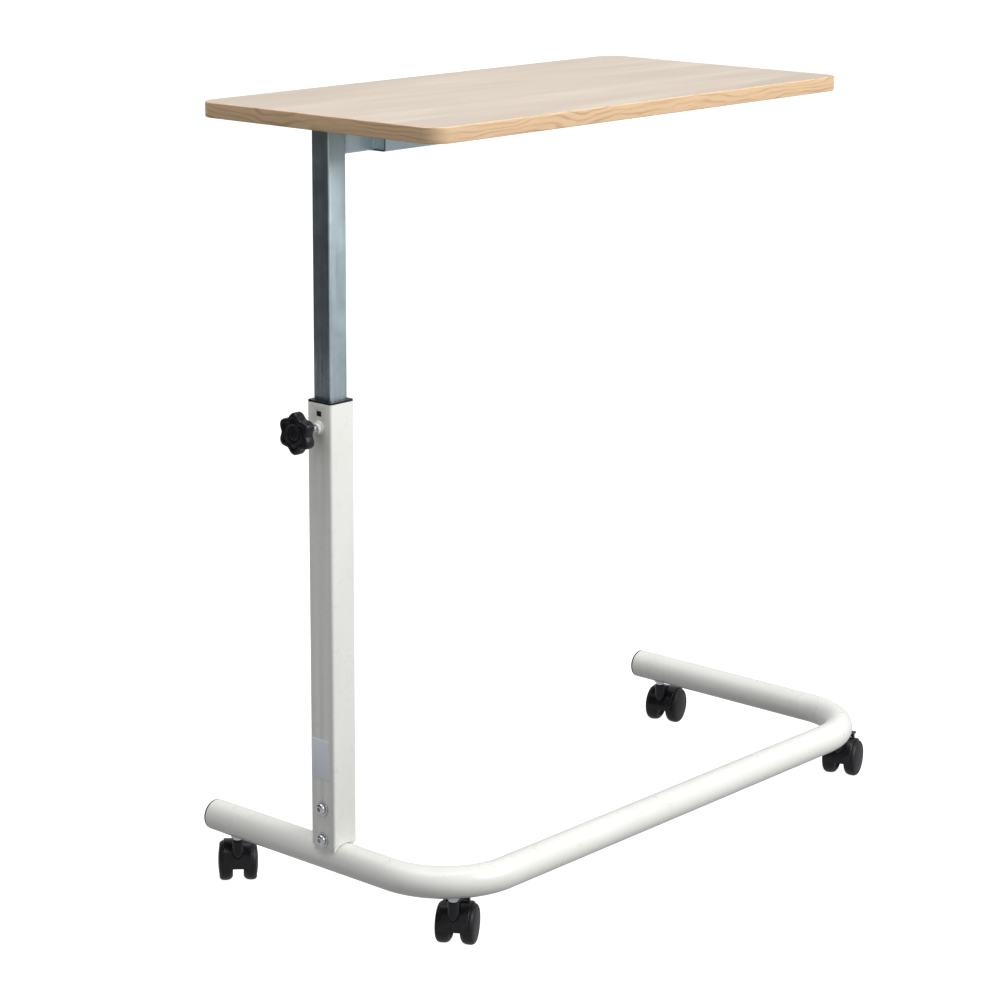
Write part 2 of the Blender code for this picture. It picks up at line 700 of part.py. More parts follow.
def brake_ear(side):
    """One of the two ears on the hood that hold the pedal's pins."""
    x, z = PEDAL_PIVOT
    outline = arc(0.0030, 0.0, 180.0, 6, (x, z)) + [(x - 0.0045, z - 0.0048), (x + 0.0045, z - 0.0055)]
    near = PEDAL_HALF_WIDTH + RUNNING
    ends = sorted((side * near, side * (near + EAR_THICKNESS)))
    ear = prism(outline, "Y", *ends)
    hole = circle(PEDAL_PIN_RADIUS + RUNNING, 12, (x, z))
    return cut(ear, prism(hole, "Y", -0.02, 0.02))


def brake_pedal():
    """Foot pedal with its two pins; its origin is on the pin axis."""
    reach = PEDAL_TIP - PEDAL_PIVOT[0]
    barrel = arc(0.0026, 90.0, 270.0, 6)
    tip = [(reach, -PEDAL_THICKNESS), (reach + 0.0004, 0.0004), (reach * 0.80, -0.0004)]
    outline = barrel + [(reach * 0.50, -0.0022)] + tip
    mesh = prism(outline, "Y", -PEDAL_HALF_WIDTH, PEDAL_HALF_WIDTH)
    pin_reach = PEDAL_HALF_WIDTH + RUNNING + EAR_THICKNESS * 0.8
    pin = prism(circle(PEDAL_PIN_RADIUS, 12), "Y", -pin_reach, pin_reach)
    return join(mesh, pin)


def castor_axle():
    """Axle pressed in the hood's web; its origin is at its middle."""
    profile = (
        (-AXLE_HALF_LENGTH, AXLE_RADIUS - 0.0004),
        (0.0004 - AXLE_HALF_LENGTH, AXLE_RADIUS),
        (AXLE_HALF_LENGTH - 0.0004, AXLE_RADIUS),
        (AXLE_HALF_LENGTH, AXLE_RADIUS - 0.0004),
    )
    return smooth(turned(profile, "Y", 12))


def castor_wheel(side):
    """Wheel with a blind bore and a domed outer face; its origin is on the axle, between the wheels."""
    bore = AXLE_RADIUS + RUNNING
    profile = (
        (AXLE_HALF_LENGTH + RUNNING, bore),
        (WHEEL_INNER, bore),
        (WHEEL_INNER, WHEEL_RADIUS - 0.0010),
        (WHEEL_INNER + 0.0020, WHEEL_RADIUS),
        (WHEEL_OUTER - 0.0050, WHEEL_RADIUS),
        (WHEEL_OUTER - 0.0018, WHEEL_RADIUS - 0.0020),
        (WHEEL_OUTER, WHEEL_RADIUS - 0.0080),
        (WHEEL_OUTER - 0.0004, bore),
    )
    sided = [(side * distance, radius) for distance, radius in profile]
    return smooth(turned(sided, "Y", 24), 35.0)


# ---------------------------------------------------------------- assembly


def add_base(root):
    add_piece("base_tube", base_tube(), "white_coat", root)
    add_piece("end_cap_left", end_cap(0.0), "black_plastic", root)
    add_piece("end_cap_right", end_cap(BASE_SPAN), "black_plastic", root)
    add_piece("post_stub", post_stub(), "white_coat", root)
    add_piece("outer_post", outer_post(), "white_coat", root)
    add_piece("post_bush", post_bush(), "black_plastic", root)
    add_piece("post_label", post_label(), "label_film", root)
    for level, height in BOLT_HEIGHTS.items():
        add_piece("post_bolt_" + level, post_bolt(height), "bright_steel", root)
        add_piece("post_washer_" + level, post_washer(height), "bright_steel", root)
        add_piece("post_nut_" + level, post_nut(height), "zinc", root)


def add_clamp(root):
    add_piece("clamp_boss", clamp_boss(), "white_coat", root)
    travel = add_empty("clamp_travel", (0.0, 0.0, CLAMP_HEIGHT), parent=root)
    add_piece("clamp_pad", clamp_pad(), "brass", travel)
    add_piece("clamp_stud", clamp_stud(), "bright_steel", travel)
    add_piece("clamp_knob", clamp_knob(), "black_plastic", travel)


def add_top(root):
    mast = add_empty("mast_slide", (0.0, 0.0, 0.0), parent=root)
    add_piece("inner_post", inner_post(), "zinc", mast)
    add_piece("inner_post_foot", inner_post_foot(), "nylon", mast)
    add_piece("support_arm", support_arm(), "zinc", mast)
    add_piece("top_channel", top_channel(), "zinc", mast)
    add_piece("tabletop_board", tabletop_board(), "oak_laminate", mast)
    add_piece("edge_band", edge_band(), "oak_edge", mast)
    for number, place in enumerate(screw_places(), start=1):
        add_piece("top_screw_%d" % number, top_screw(place), "bright_steel", mast)


def add_castors(root):
    """Four castors, each turned to the angle at which its wheels trail."""
    trail_degrees = {"rear_left": 46.0, "front_left": 30.0, "front_right": 18.0, "rear_right": 15.0}
    hoods = {braked: castor_hood(braked) for braked in (True, False)}
    socket = castor_socket()
    stem = castor_stem()
    axle = castor_axle()
    wheels = {side: castor_wheel(side) for side in (-1, 1)}
    pedal = brake_pedal()
    for corner, (x, y) in castor_places().items():
        braked = corner.startswith("front")
        add_piece("castor_socket_" + corner, socket, "zinc", root, (x, y, 0.0))
        add_piece("castor_stem_" + corner, stem, "bright_steel", root, (x, y, 0.0))
        turn = math.radians(trail_degrees[corner])
        swivel = add_empty("castor_swivel_" + corner, (x, y, 0.0), turn, root)
        add_piece("castor_hood_" + corner, hoods[braked], "black_plastic", swivel)
        hub = (CASTOR_TRAIL, 0.0, WHEEL_RADIUS)
        add_piece("castor_axle_" + corner, axle, "bright_steel", swivel, hub)
        add_piece("castor_wheel_%s_a" % corner, wheels[-1], "black_tread", swivel, hub)
        add_piece("castor_wheel_%s_b" % corner, wheels[1], "black_tread", swivel, hub)
        if braked:
            pivot = (PEDAL_PIVOT[0], 0.0, PEDAL_PIVOT[1])
            add_piece("brake_pedal_" + corner, pedal, "black_plastic", swivel, pivot)


def build():
    clear_scene()
    root = add_empty("table", (*POST_PLACE, 0.0))
    add_base(root)
    add_clamp(root)
    add_top(root)
    add_castors(root)
    bpy.context.view_layer.update()


build()
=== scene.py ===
"""Looks of the overbed table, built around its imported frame.

Units are metres and +Z is up.  Places come from the boxes of the frame's nodes and from its joints.
"""

import json
import math

import bmesh
import bpy
from mathutils import Matrix, Vector


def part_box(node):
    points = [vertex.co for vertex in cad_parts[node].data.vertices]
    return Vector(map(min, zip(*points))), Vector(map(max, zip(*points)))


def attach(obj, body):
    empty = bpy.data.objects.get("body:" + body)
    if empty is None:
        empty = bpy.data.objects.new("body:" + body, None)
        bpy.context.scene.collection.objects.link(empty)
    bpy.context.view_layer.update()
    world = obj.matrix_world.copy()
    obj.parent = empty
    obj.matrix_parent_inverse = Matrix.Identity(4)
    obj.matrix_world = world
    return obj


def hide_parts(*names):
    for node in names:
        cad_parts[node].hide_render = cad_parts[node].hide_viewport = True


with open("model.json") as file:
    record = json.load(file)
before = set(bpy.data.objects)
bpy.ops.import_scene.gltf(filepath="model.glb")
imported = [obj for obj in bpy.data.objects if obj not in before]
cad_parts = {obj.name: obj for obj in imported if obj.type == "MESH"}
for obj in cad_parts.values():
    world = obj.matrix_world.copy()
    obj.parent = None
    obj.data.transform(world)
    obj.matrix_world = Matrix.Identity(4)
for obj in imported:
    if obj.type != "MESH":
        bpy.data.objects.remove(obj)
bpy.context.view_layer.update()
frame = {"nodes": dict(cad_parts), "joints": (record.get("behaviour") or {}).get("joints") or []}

# ---------------------------------------------------------------- places taken from the frame


def middle(node):
    low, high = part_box(node)
    return (Vector(low) + Vector(high)) / 2


def low_of(node):
    return Vector(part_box(node)[0])


def high_of(node):
    return Vector(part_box(node)[1])


def ends(node):
    return low_of(node), high_of(node)


POST = middle("outer_post")
POST_SIDE = high_of("outer_post").x - low_of("outer_post").x
POST_FACE = low_of("outer_post").x            # the face with the clamp, the bolts and the label
TUBE_Z = middle("base_tube").z
TUBE_RADIUS = (high_of("base_tube").z - low_of("base_tube").z) / 2
CLAMP = Vector((POST_FACE, POST.y, middle("clamp_stud").z))
MAST_SIDE = high_of("inner_post").x - low_of("inner_post").x
JOINTS = {joint["name"]: joint for joint in frame["joints"]}
CORNERS = ("rear_left", "front_left", "front_right", "rear_right")
BRAKED = ("front_left", "front_right")

# ---------------------------------------------------------------- sizes that the boxes don't give

GAP = 0.0003
TUBE_WALL = 0.0018
BEND_RADIUS = 0.0953
CAP_RIM = 0.0026
POST_WALL = 0.0018
POST_CORNER = 0.0034
COPE_RISE = 0.0203           # top of the arc in the post's foot, above the tube's axis
COPE_RADIUS = 0.0455
BOLT_HOLE_RADIUS = 0.0043
PAD_HOLE_RADIUS = 0.0056     # the hole that the clamp's pad passes through, in the post and its bush
LUG_DROP = 0.0123            # the lug's middle, below the post's top
LUG_SIZE = (0.0075, 0.0058)
LUG_CORNER = 0.0008
MAST_WALL = 0.0020
MAST_CORNER = 0.0026
BOARD_CORNER = 0.0260
BAND_THICKNESS = 0.0020
SHEET = 0.0020
CHANNEL_FLANGE = 0.0160
THREAD_PITCH = 0.00125
NUT_RADIUS = 0.0066
NUT_BORE = 0.0043
KNOB_VALLEY = 0.812          # the valleys' share of the knob's radius
KNOB_HUB_LENGTH = 0.0075
TOP_SCREWS = tuple("top_screw_%d" % number for number in range(1, 7))

WHEEL_RADIUS = 0.0250
WHEEL_INNER = 0.0066
WHEEL_OUTER = 0.0250
AXLE_BORE = 0.0033
SOCKET_RADIUS = 0.0080
HOOD_RADIUS = 0.0280
HOOD_SHELL = 0.0022
HOOD_HALF_WIDTH = 0.0180
HOOD_TOP = 0.0610
HOOD_FRONT_DEGREES = 185.0
HOOD_REAR_DEGREES = 35.0
WEB_HALF_WIDTH = 0.0060
BOSS_RADIUS = 0.0070
BOSS_BOTTOM = 0.0340
PEDAL_PIVOT = (0.0262, 0.0560)
PEDAL_REACH = 0.0183
PEDAL_HALF_WIDTH = 0.0120

# ---------------------------------------------------------------- mesh tools


def skin(loops, closed=False):
    """Join loops of equal length one after another; the ends are capped or joined together."""
    bm = bmesh.new()
    rows = [[bm.verts.new(point) for point in loop] for loop in loops]
    following = rows[1:] + rows[:1] if closed else rows[1:]
    for row, other in zip(rows, following):
        count = len(row)
        for index in range(count):
            after = (index + 1) % count
            bm.faces.new((row[index], row[after], other[after], other[index]))
    if not closed:
        bm.faces.new(rows[0])
        bm.faces.new(rows[-1])
    bmesh.ops.recalc_face_normals(bm, faces=bm.faces)
    mesh = bpy.data.meshes.new("piece")
    bm.to_mesh(mesh)
    bm.free()
    return mesh


def along(axis, across_a, across_b, distance):
    if axis == "X":
        return Vector((distance, across_a, across_b))
    if axis == "Y":
        return Vector((across_a, distance, across_b))
    return Vector((across_a, across_b, distance))


def at(axis, distance, outline):
    """The outline's points at one distance along the axis."""
    return [along(axis, a, b, distance) for a, b in outline]


def quarter(steps):
    """Pairs of sine and 1 - cosine through a quarter turn, which round an edge."""
    turns = [math.radians(90.0 * step / steps) for step in range(steps + 1)]
    return [(math.sin(turn), 1 - math.cos(turn)) for turn in turns]


def circle(radius, steps, centre=(0.0, 0.0)):
    turns = [2.0 * math.pi * step / steps - math.pi / 2.0 for step in range(steps)]
    return [(centre[0] + radius * math.cos(turn), centre[1] + radius * math.sin(turn)) for turn in turns]


def arc(radius, start, end, steps, centre=(0.0, 0.0)):
    angles = [math.radians(start + (end - start) * step / steps) for step in range(steps + 1)]
    return [(centre[0] + radius * math.cos(a), centre[1] + radius * math.sin(a)) for a in angles]


def rounded_rectangle(width, height, radius, steps, centre=(0.0, 0.0)):
    points = []
    for start, side_a, side_b in ((0, 1, 1), (90, -1, 1), (180, -1, -1), (270, 1, -1)):
        corner = (centre[0] + side_a * (width / 2 - radius), centre[1] + side_b * (height / 2 - radius))
        points += arc(radius, start, start + 90, steps, corner)
    return points


def fillet(points, reach, steps=4, closed=False):
    """The same line with its corners rounded; reach is how far from a corner its rounding starts."""
    result = []
    for index, point in enumerate(points):
        if not closed and index in (0, len(points) - 1):
            result.append(tuple(point))
            continue
        here = Vector(point)
        before = Vector(points[index - 1]) - here
        after = Vector(points[(index + 1) % len(points)]) - here
        start = here + before.normalized() * min(reach, before.length * 0.45)
        end = here + after.normalized() * min(reach, after.length * 0.45)
        for step in range(steps + 1):
            t = step / steps
            result.append(tuple(start * (1 - t) ** 2 + here * 2 * t * (1 - t) + end * t * t))
    return result


def prism(outline, axis, low, high):
    return skin([at(axis, end, outline) for end in (low, high)])


def pipe(outer, inner, axis, low, high):
    order = ((outer, low), (outer, high), (inner, high), (inner, low))
    return skin([at(axis, end, outline) for outline, end in order], closed=True)


def turned(profile, axis, steps, centre=(0.0, 0.0), closed=False):
    """A turned shape from (distance along the axis, radius) pairs."""
    return skin([at(axis, distance, circle(radius, steps, centre)) for distance, radius in profile], closed)


def box(low, high):
    outline = [(low[0], low[1]), (high[0], low[1]), (high[0], high[1]), (low[0], high[1])]
    return prism(outline, "Z", low[2], high[2])


def modified(mesh, kind, other=None, **settings):
    """The mesh as a modifier leaves it."""
    collection = bpy.context.scene.collection
    body = bpy.data.objects.new("body", mesh)
    collection.objects.link(body)
    modifier = body.modifiers.new("step", kind)
    for name, value in settings.items():
        setattr(modifier, name, value)
    tool = None
    if other is not None:
        tool = bpy.data.objects.new("tool", other)
        collection.objects.link(tool)
        modifier.object = tool
    bpy.context.view_layer.update()
    evaluated = body.evaluated_get(bpy.context.evaluated_depsgraph_get())
    result = bpy.data.meshes.new_from_object(evaluated)
    bpy.data.objects.remove(body, do_unlink=True)
    if tool is not None:
        bpy.data.objects.remove(tool, do_unlink=True)
    return result


def cut(mesh, *tools):
    for tool in tools:
        mesh = modified(mesh, "BOOLEAN", tool, operation="DIFFERENCE", solver="EXACT")
    return mesh


def join(mesh, *tools):
    for tool in tools:
        mesh = modified(mesh, "BOOLEAN", tool, operation="UNION", solver="EXACT")
    return mesh


def bevelled(mesh, width, segments=3, degrees=40.0):
    return modified(mesh, "BEVEL", width=width, segments=segments, limit_method="ANGLE",
                    angle_limit=math.radians(degrees), use_clamp_overlap=True)


def together(*meshes):
    """Several closed shells in one mesh, as welded sheets are."""
    bm = bmesh.new()
    for mesh in meshes:
        bm.from_mesh(mesh)
    result = bpy.data.meshes.new("piece")
    bm.to_mesh(result)
    bm.free()
    return result


def moved(mesh, matrix):
    result = mesh.copy()
    result.transform(matrix)
    return result


def smooth(mesh, sharp_degrees=35.0):
    mesh.shade_smooth()
    mesh.set_sharp_from_angle(angle=math.radians(sharp_degrees))
    return mesh


def add(name, mesh, material, body, slot, *nodes):
    """A visible piece that rides on a body and stands for some of the frame's nodes."""
    piece = bpy.data.objects.new(name, mesh.copy())
    piece.data.name = name
    piece.data.materials.clear()
    piece.data.materials.append(material)
    bpy.context.scene.collection.objects.link(piece)
    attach(piece, body)
    if nodes:
        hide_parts(*nodes)


# ---------------------------------------------------------------- material tools


class Finish:
    """A Principled material, with short calls for the textures that vary it."""

    def __init__(self, name, colour, roughness, metallic=0.0, **sockets):
        self.material = bpy.data.materials.new(name)
        self.material.use_nodes = True
        self.nodes = self.material.node_tree.nodes
        self.links = self.material.node_tree.links
        self.shader = self.nodes["Principled BSDF"]
        self.set("Base Color", (*colour, 1.0))
        self.set("Roughness", roughness)
        self.set("Metallic", metallic)
        for socket, value in sockets.items():
            self.set(socket.replace("_", " "), value)

    def set(self, socket, value):
        """A value that is the same all over, or another node's output."""
        if isinstance(value, bpy.types.NodeSocket):
            self.links.new(value, self.shader.inputs[socket])
        else:
            self.shader.inputs[socket].default_value = value

    def node(self, kind, inputs=(), **settings):
        node = self.nodes.new(kind)
        for name, value in settings.items():
            setattr(node, name, value)
        for socket, value in dict(inputs).items():
            if isinstance(value, bpy.types.NodeSocket):
                self.links.new(value, node.inputs[socket])
            else:
                node.inputs[socket].default_value = value
        return node

    def point(self, scale=(1.0, 1.0, 1.0), offset=(0.0, 0.0, 0.0)):
        """The place on the piece, stretched along the axes."""
        place = self.node("ShaderNodeTexCoord").outputs["Object"]
        inputs = {"Vector": place, "Scale": scale, "Location": offset}
        return self.node("ShaderNodeMapping", inputs).outputs[0]

    def noise(self, scale, detail=3.0, roughness=0.5, distortion=0.0, offset=(0.0, 0.0, 0.0)):
        """Noise over the piece; scale is one number, or one for each axis."""
        if isinstance(scale, float):
            scale = (scale, scale, scale)
        inputs = {"Vector": self.point(scale, offset), "Scale": 1.0, "Detail": detail,
                  "Roughness": roughness, "Distortion": distortion}
        return self.node("ShaderNodeTexNoise", inputs).outputs["Fac"]

    def spread(self, value, low, high, start=0.3, end=0.7):
        """The value's middle part, stretched to run from low to high."""
        inputs = {"Value": value, "From Min": start, "From Max": end, "To Min": low, "To Max": high}
        return self.node("ShaderNodeMapRange", inputs).outputs[0]

    def ramp(self, value, *stops):
        node = self.node("ShaderNodeValToRGB", {"Fac": value})
        elements = node.color_ramp.elements
        while len(elements) < len(stops):
            elements.new(0.5)
        for element, (position, colour) in zip(elements, stops):
            element.position = position
            element.color = (*colour, 1.0)
        return node.outputs[0]

    def mix(self, factor, first, second, blend="MIX"):
        node = self.node("ShaderNodeMix", data_type="RGBA", blend_type=blend)
        for socket, value in (("Factor_Float", factor), ("A_Color", first), ("B_Color", second)):
            target = next(item for item in node.inputs if item.identifier == socket)
            if isinstance(value, bpy.types.NodeSocket):
                self.links.new(value, target)
            elif socket == "Factor_Float":
                target.default_value = value
            else:
                target.default_value = (*value, 1.0)
        return next(item for item in node.outputs if item.identifier == "Result_Color")

    def maths(self, operation, first, second=0.0):
        node = self.node("ShaderNodeMath", operation=operation)
        for index, value in enumerate((first, second)):
            if isinstance(value, bpy.types.NodeSocket):
                self.links.new(value, node.inputs[index])
            else:
                node.inputs[index].default_value = value
        return node.outputs[0]

    def edges(self):
        """Near 1 along worn outer edges and 0 elsewhere."""
        pointed = self.node("ShaderNodeNewGeometry").outputs["Pointiness"]
        return self.spread(pointed, 0.0, 1.0, 0.50, 0.56)

    def bump(self, height, strength, distance):
        inputs = {"Height": height, "Strength": strength, "Distance": distance}
        return self.node("ShaderNodeBump", inputs).outputs[0]


# ---------------------------------------------------------------- materials


def powder_coat():
    """Off-white powder coat: a faint orange peel, and slightly uneven colour and gloss."""
    f = Finish("powder_coat", (0.80, 0.80, 0.765), 0.3, Coat_Weight=0.25, Coat_Roughness=0.12)
    cloud = f.noise(9.0, detail=4.0)
    colour = f.ramp(cloud, (0.30, (0.835, 0.830, 0.785)), (0.70, (0.875, 0.872, 0.835)))
    f.set("Base Color", colour)
    f.set("Roughness", f.spread(f.noise(45.0, detail=5.0), 0.25, 0.36))
    f.set("Normal", f.bump(f.noise(750.0, detail=1.0), 0.06, 0.0002))
    return f.material


def zinc(name, stretch):
    """Bluish zinc plate with drawing lines along one axis, in faint cloudy patches."""
    f = Finish(name, (0.47, 0.53, 0.57), 0.36, 1.0)
    cloud = f.noise(22.0, detail=5.0, roughness=0.62)
    lines = f.noise(stretch, detail=3.0, roughness=0.6)
    plate = f.ramp(cloud, (0.28, (0.50, 0.60, 0.63)), (0.55, (0.58, 0.69, 0.72)),
                   (0.78, (0.66, 0.76, 0.78)))
    streaks = f.ramp(lines, (0.30, (0.86, 0.87, 0.88)), (0.70, (1.0, 1.0, 1.0)))
    f.set("Base Color", f.mix(1.0, plate, streaks, "MULTIPLY"))
    rough = f.maths("ADD", f.spread(lines, 0.30, 0.44), f.spread(cloud, -0.05, 0.07))
    f.set("Roughness", rough)
    f.set("Normal", f.bump(lines, 0.16, 0.0003))
    return f.material


def bright_steel():
    """Turned and bright-plated steel."""
    f = Finish("bright_steel", (0.66, 0.67, 0.69), 0.22, 1.0)
    stain = f.noise(260.0, detail=4.0)
    f.set("Base Color", f.ramp(stain, (0.30, (0.56, 0.575, 0.60)), (0.70, (0.72, 0.73, 0.745))))
    f.set("Roughness", f.spread(stain, 0.16, 0.32))
    f.set("Normal", f.bump(f.noise(1500.0, detail=2.0), 0.10, 0.0001))
    return f.material


def moulded(name, colour, light, roughness, grain):
    """Black moulded plastic: fine texture, paler rubbed edges and an uneven sheen."""
    f = Finish(name, colour, roughness, Specular_IOR_Level=0.32)
    cloud = f.noise(60.0, detail=4.0)
    body = f.mix(cloud, colour, light)
    rubbed = tuple(min(1.0, channel * 2.4 + 0.01) for channel in light)
    wear = f.maths("MULTIPLY", f.edges(), f.spread(f.noise(180.0), 0.0, 0.6))
    f.set("Base Color", f.mix(wear, body, rubbed))
    f.set("Roughness", f.spread(f.noise(130.0, detail=5.0), roughness - 0.07, roughness + 0.07))
    f.set("Normal", f.bump(f.noise(2200.0, detail=1.0), grain, 0.0002))
    return f.material


def wheel_plastic():
    """Nylon wheels: like the hoods, and greyed with dust and fine scuffs."""
    f = Finish("wheel_plastic", (0.010, 0.010, 0.012), 0.42, Specular_IOR_Level=0.32)
    scuff = f.noise((420.0, 420.0, 60.0), detail=6.0, roughness=0.7)
    dust = f.noise(35.0, detail=4.0)
    grey = f.ramp(scuff, (0.45, (0.009, 0.009, 0.011)), (0.74, (0.026, 0.025, 0.025)))
    f.set("Base Color", f.mix(f.spread(dust, 0.25, 0.9), (0.008, 0.008, 0.010), grey))
    f.set("Roughness", f.spread(scuff, 0.34, 0.55))
    f.set("Normal", f.bump(scuff, 0.12, 0.0002))
    return f.material


def nylon():
    f = Finish("natural_nylon", (0.70, 0.69, 0.64), 0.5, Subsurface_Weight=0.1, Subsurface_Scale=0.002)
    cloud = f.noise(80.0, detail=4.0)
    f.set("Base Color", f.ramp(cloud, (0.3, (0.64, 0.63, 0.575)), (0.7, (0.74, 0.73, 0.69))))
    f.set("Roughness", f.spread(cloud, 0.42, 0.58))
    f.set("Normal", f.bump(f.noise(900.0), 0.1, 0.0002))
    return f.material


def brass():
    f = Finish("turned_brass", (0.72, 0.53, 0.24), 0.3, 1.0)
    lines = f.noise((40.0, 1800.0, 1800.0), detail=2.0)
    f.set("Base Color", f.ramp(lines, (0.3, (0.62, 0.44, 0.18)), (0.7, (0.78, 0.60, 0.30))))
    f.set("Roughness", f.spread(lines, 0.22, 0.42))
    f.set("Normal", f.bump(lines, 0.15, 0.0001))
    return f.material


def laminate():
    """Pale oak print: broad soft figure, fine lengthwise fibres and short pores."""
    f = Finish("oak_laminate", (0.58, 0.49, 0.40), 0.42, Coat_Weight=0.1, Coat_Roughness=0.3)
    figure = f.noise((2.6, 22.0, 22.0), detail=3.0, roughness=0.55, distortion=0.6)
    fibres = f.noise((14.0, 520.0, 520.0), detail=3.0, roughness=0.6)
    pores = f.noise((55.0, 900.0, 900.0), detail=2.0, roughness=0.5, offset=(3.0, 0.0, 0.0))
    base = f.ramp(figure, (0.28, (0.525, 0.440, 0.355)), (0.50, (0.585, 0.495, 0.405)),
                  (0.72, (0.640, 0.555, 0.465)))
    streaks = f.ramp(fibres, (0.30, (0.93, 0.925, 0.915)), (0.70, (1.0, 1.0, 1.0)))
    grain = f.mix(1.0, base, streaks, "MULTIPLY")
    pore = f.spread(pores, 0.0, 0.35, 0.64, 0.76)
    f.set("Base Color", f.mix(pore, grain, (0.40, 0.325, 0.25)))
    f.set("Roughness", f.spread(figure, 0.38, 0.47))
    pitted = f.maths("SUBTRACT", f.spread(fibres, 0.0, 1.0), pore)
    f.set("Normal", f.bump(pitted, 0.06, 0.0002))
    return f.material


def edge_print():
    """Warmer oak print on the edge band, with lines that wave along it."""
    f = Finish("oak_edge", (0.70, 0.50, 0.31), 0.42, Coat_Weight=0.1, Coat_Roughness=0.3)
    sway = f.noise((9.0, 9.0, 30.0), detail=2.0, roughness=0.45)
    height = f.node("ShaderNodeSeparateXYZ", {"Vector": f.point()}).outputs["Z"]
    level = f.maths("ADD", f.maths("MULTIPLY", height, 260.0), f.maths("MULTIPLY", sway, 9.0))
    wave = f.maths("SINE", f.maths("MULTIPLY", level, 4.2))
    fade = f.noise((14.0, 14.0, 160.0), detail=2.0, offset=(5.0, 0.0, 0.0))
    line = f.maths("MULTIPLY", f.spread(wave, 0.0, 1.0, 0.15, 1.0), f.spread(fade, 0.25, 1.0, 0.35, 0.62))
    fibres = f.noise((40.0, 40.0, 1500.0), detail=3.0)
    ground = f.ramp(fibres, (0.30, (0.700, 0.475, 0.270)), (0.70, (0.775, 0.550, 0.345)))
    f.set("Base Color", f.mix(f.maths("MULTIPLY", line, 0.75), ground, (0.50, 0.305, 0.155)))
    f.set("Roughness", f.spread(fibres, 0.36, 0.48))
    f.set("Normal", f.bump(fibres, 0.05, 0.0002))
    return f.material


def film():
    """Plain pale label film, slightly mottled, with a satin face."""
    f = Finish("label_film", (0.74, 0.76, 0.78), 0.34, Coat_Weight=0.3, Coat_Roughness=0.15)
    cloud = f.noise(120.0, detail=3.0)
    f.set("Base Color", f.ramp(cloud, (0.3, (0.80, 0.83, 0.89)), (0.7, (0.84, 0.87, 0.93))))
    f.set("Roughness", f.spread(cloud, 0.28, 0.40))
    f.set("Normal", f.bump(f.noise(420.0), 0.06, 0.0002))
    return f.material


WHITE = powder_coat()
ZINC_UPRIGHT = zinc("zinc_drawn_upright", (900.0, 900.0, 7.0))
ZINC_LENGTHWISE = zinc("zinc_drawn_lengthwise", (7.0, 900.0, 900.0))
ZINC_CAST = zinc("zinc_plain", (500.0, 500.0, 500.0))
STEEL = bright_steel()
BLACK = moulded("black_nylon", (0.006, 0.006, 0.008), (0.011, 0.011, 0.013), 0.26, 0.05)
KNOB_BLACK = moulded("black_phenolic", (0.006, 0.006, 0.008), (0.012, 0.012, 0.015), 0.30, 0.06)
WHEEL_BLACK = wheel_plastic()
NYLON = nylon()
BRASS = brass()
LAMINATE = laminate()
EDGE_PRINT = edge_print()
FILM = film()

# ---------------------------------------------------------------- base


def base_path():
    """Stations along the base tube's centre line, each with the direction that the tube runs."""
    left = low_of("base_tube").x + TUBE_RADIUS
    right = high_of("base_tube").x - TUBE_RADIUS
    front = low_of("base_tube").y + TUBE_RADIUS
    end = high_of("base_tube").y
    runs = 12
    stations = []
    for step in range(runs):
        y = end + (front + BEND_RADIUS - end) * step / runs
        stations.append((Vector((left, y)), Vector((0.0, -1.0))))
    for side, start in ((0, 180.0), (1, 270.0)):
        centre_x = right - BEND_RADIUS if side else left + BEND_RADIUS
        for x, y in arc(BEND_RADIUS, start, start + 90.0, 28, (centre_x, front + BEND_RADIUS)):
            radial = Vector((x - centre_x, y - front - BEND_RADIUS)).normalized()
            stations.append((Vector((x, y)), Vector((-radial.y, radial.x))))
    for step in range(1, runs + 1):
        y = front + BEND_RADIUS + (end - front - BEND_RADIUS) * step / runs
        stations.append((Vector((right, y)), Vector((0.0, 1.0))))
    return stations


def base_tube():
    loops = {}
    for radius in (TUBE_RADIUS, TUBE_RADIUS - TUBE_WALL):
        loops[radius] = []
        for place, heading in base_path():
            sideways = Vector((heading.y, -heading.x, 0.0))
            centre = Vector((place.x, place.y, TUBE_Z))
            section = [centre + sideways * a + Vector((0.0, 0.0, b)) for a, b in circle(radius, 72)]
            loops[radius].append(section)
    outside, inside = loops.values()
    mesh = skin(outside + inside[::-1], closed=True)
    for corner in CORNERS:
        socket = middle("castor_socket_" + corner)
        hole = circle(SOCKET_RADIUS + 0.0002, 48, (socket.x, socket.y))
        mesh = cut(mesh, prism(hole, "Z", TUBE_Z - 0.04, TUBE_Z))
    return smooth(mesh)


def end_cap(node):
    """Moulded cap: a rounded rim that meets the tube, a shallow dished face and the plug."""
    place = middle(node)
    end = high_of(node).y
    start = low_of(node).y
    bore = TUBE_RADIUS - TUBE_WALL - GAP
    profile = fillet((
        (start, bore - 0.0012),
        (start + 0.0020, bore),
        (end - CAP_RIM, bore),
        (end - CAP_RIM, TUBE_RADIUS),
        (end, TUBE_RADIUS - 0.0002),
        (end, TUBE_RADIUS - 0.0040),
        (end - 0.0007, TUBE_RADIUS - 0.0050),
        (end - 0.0002, 0.0060),
        (end - 0.0002, 0.0010),
    ), 0.0013)
    return smooth(turned(profile, "Y", 72, (place.x, place.z)))


def build_base():
    add("base_tube_bent", base_tube(), WHITE, "base", "white_powder_coat", "base_tube")
    for side in ("left", "right"):
        node = "end_cap_" + side
        add("tube_cap_" + side, end_cap(node), BLACK, "base", "black_plastic", node)


# ---------------------------------------------------------------- outer post


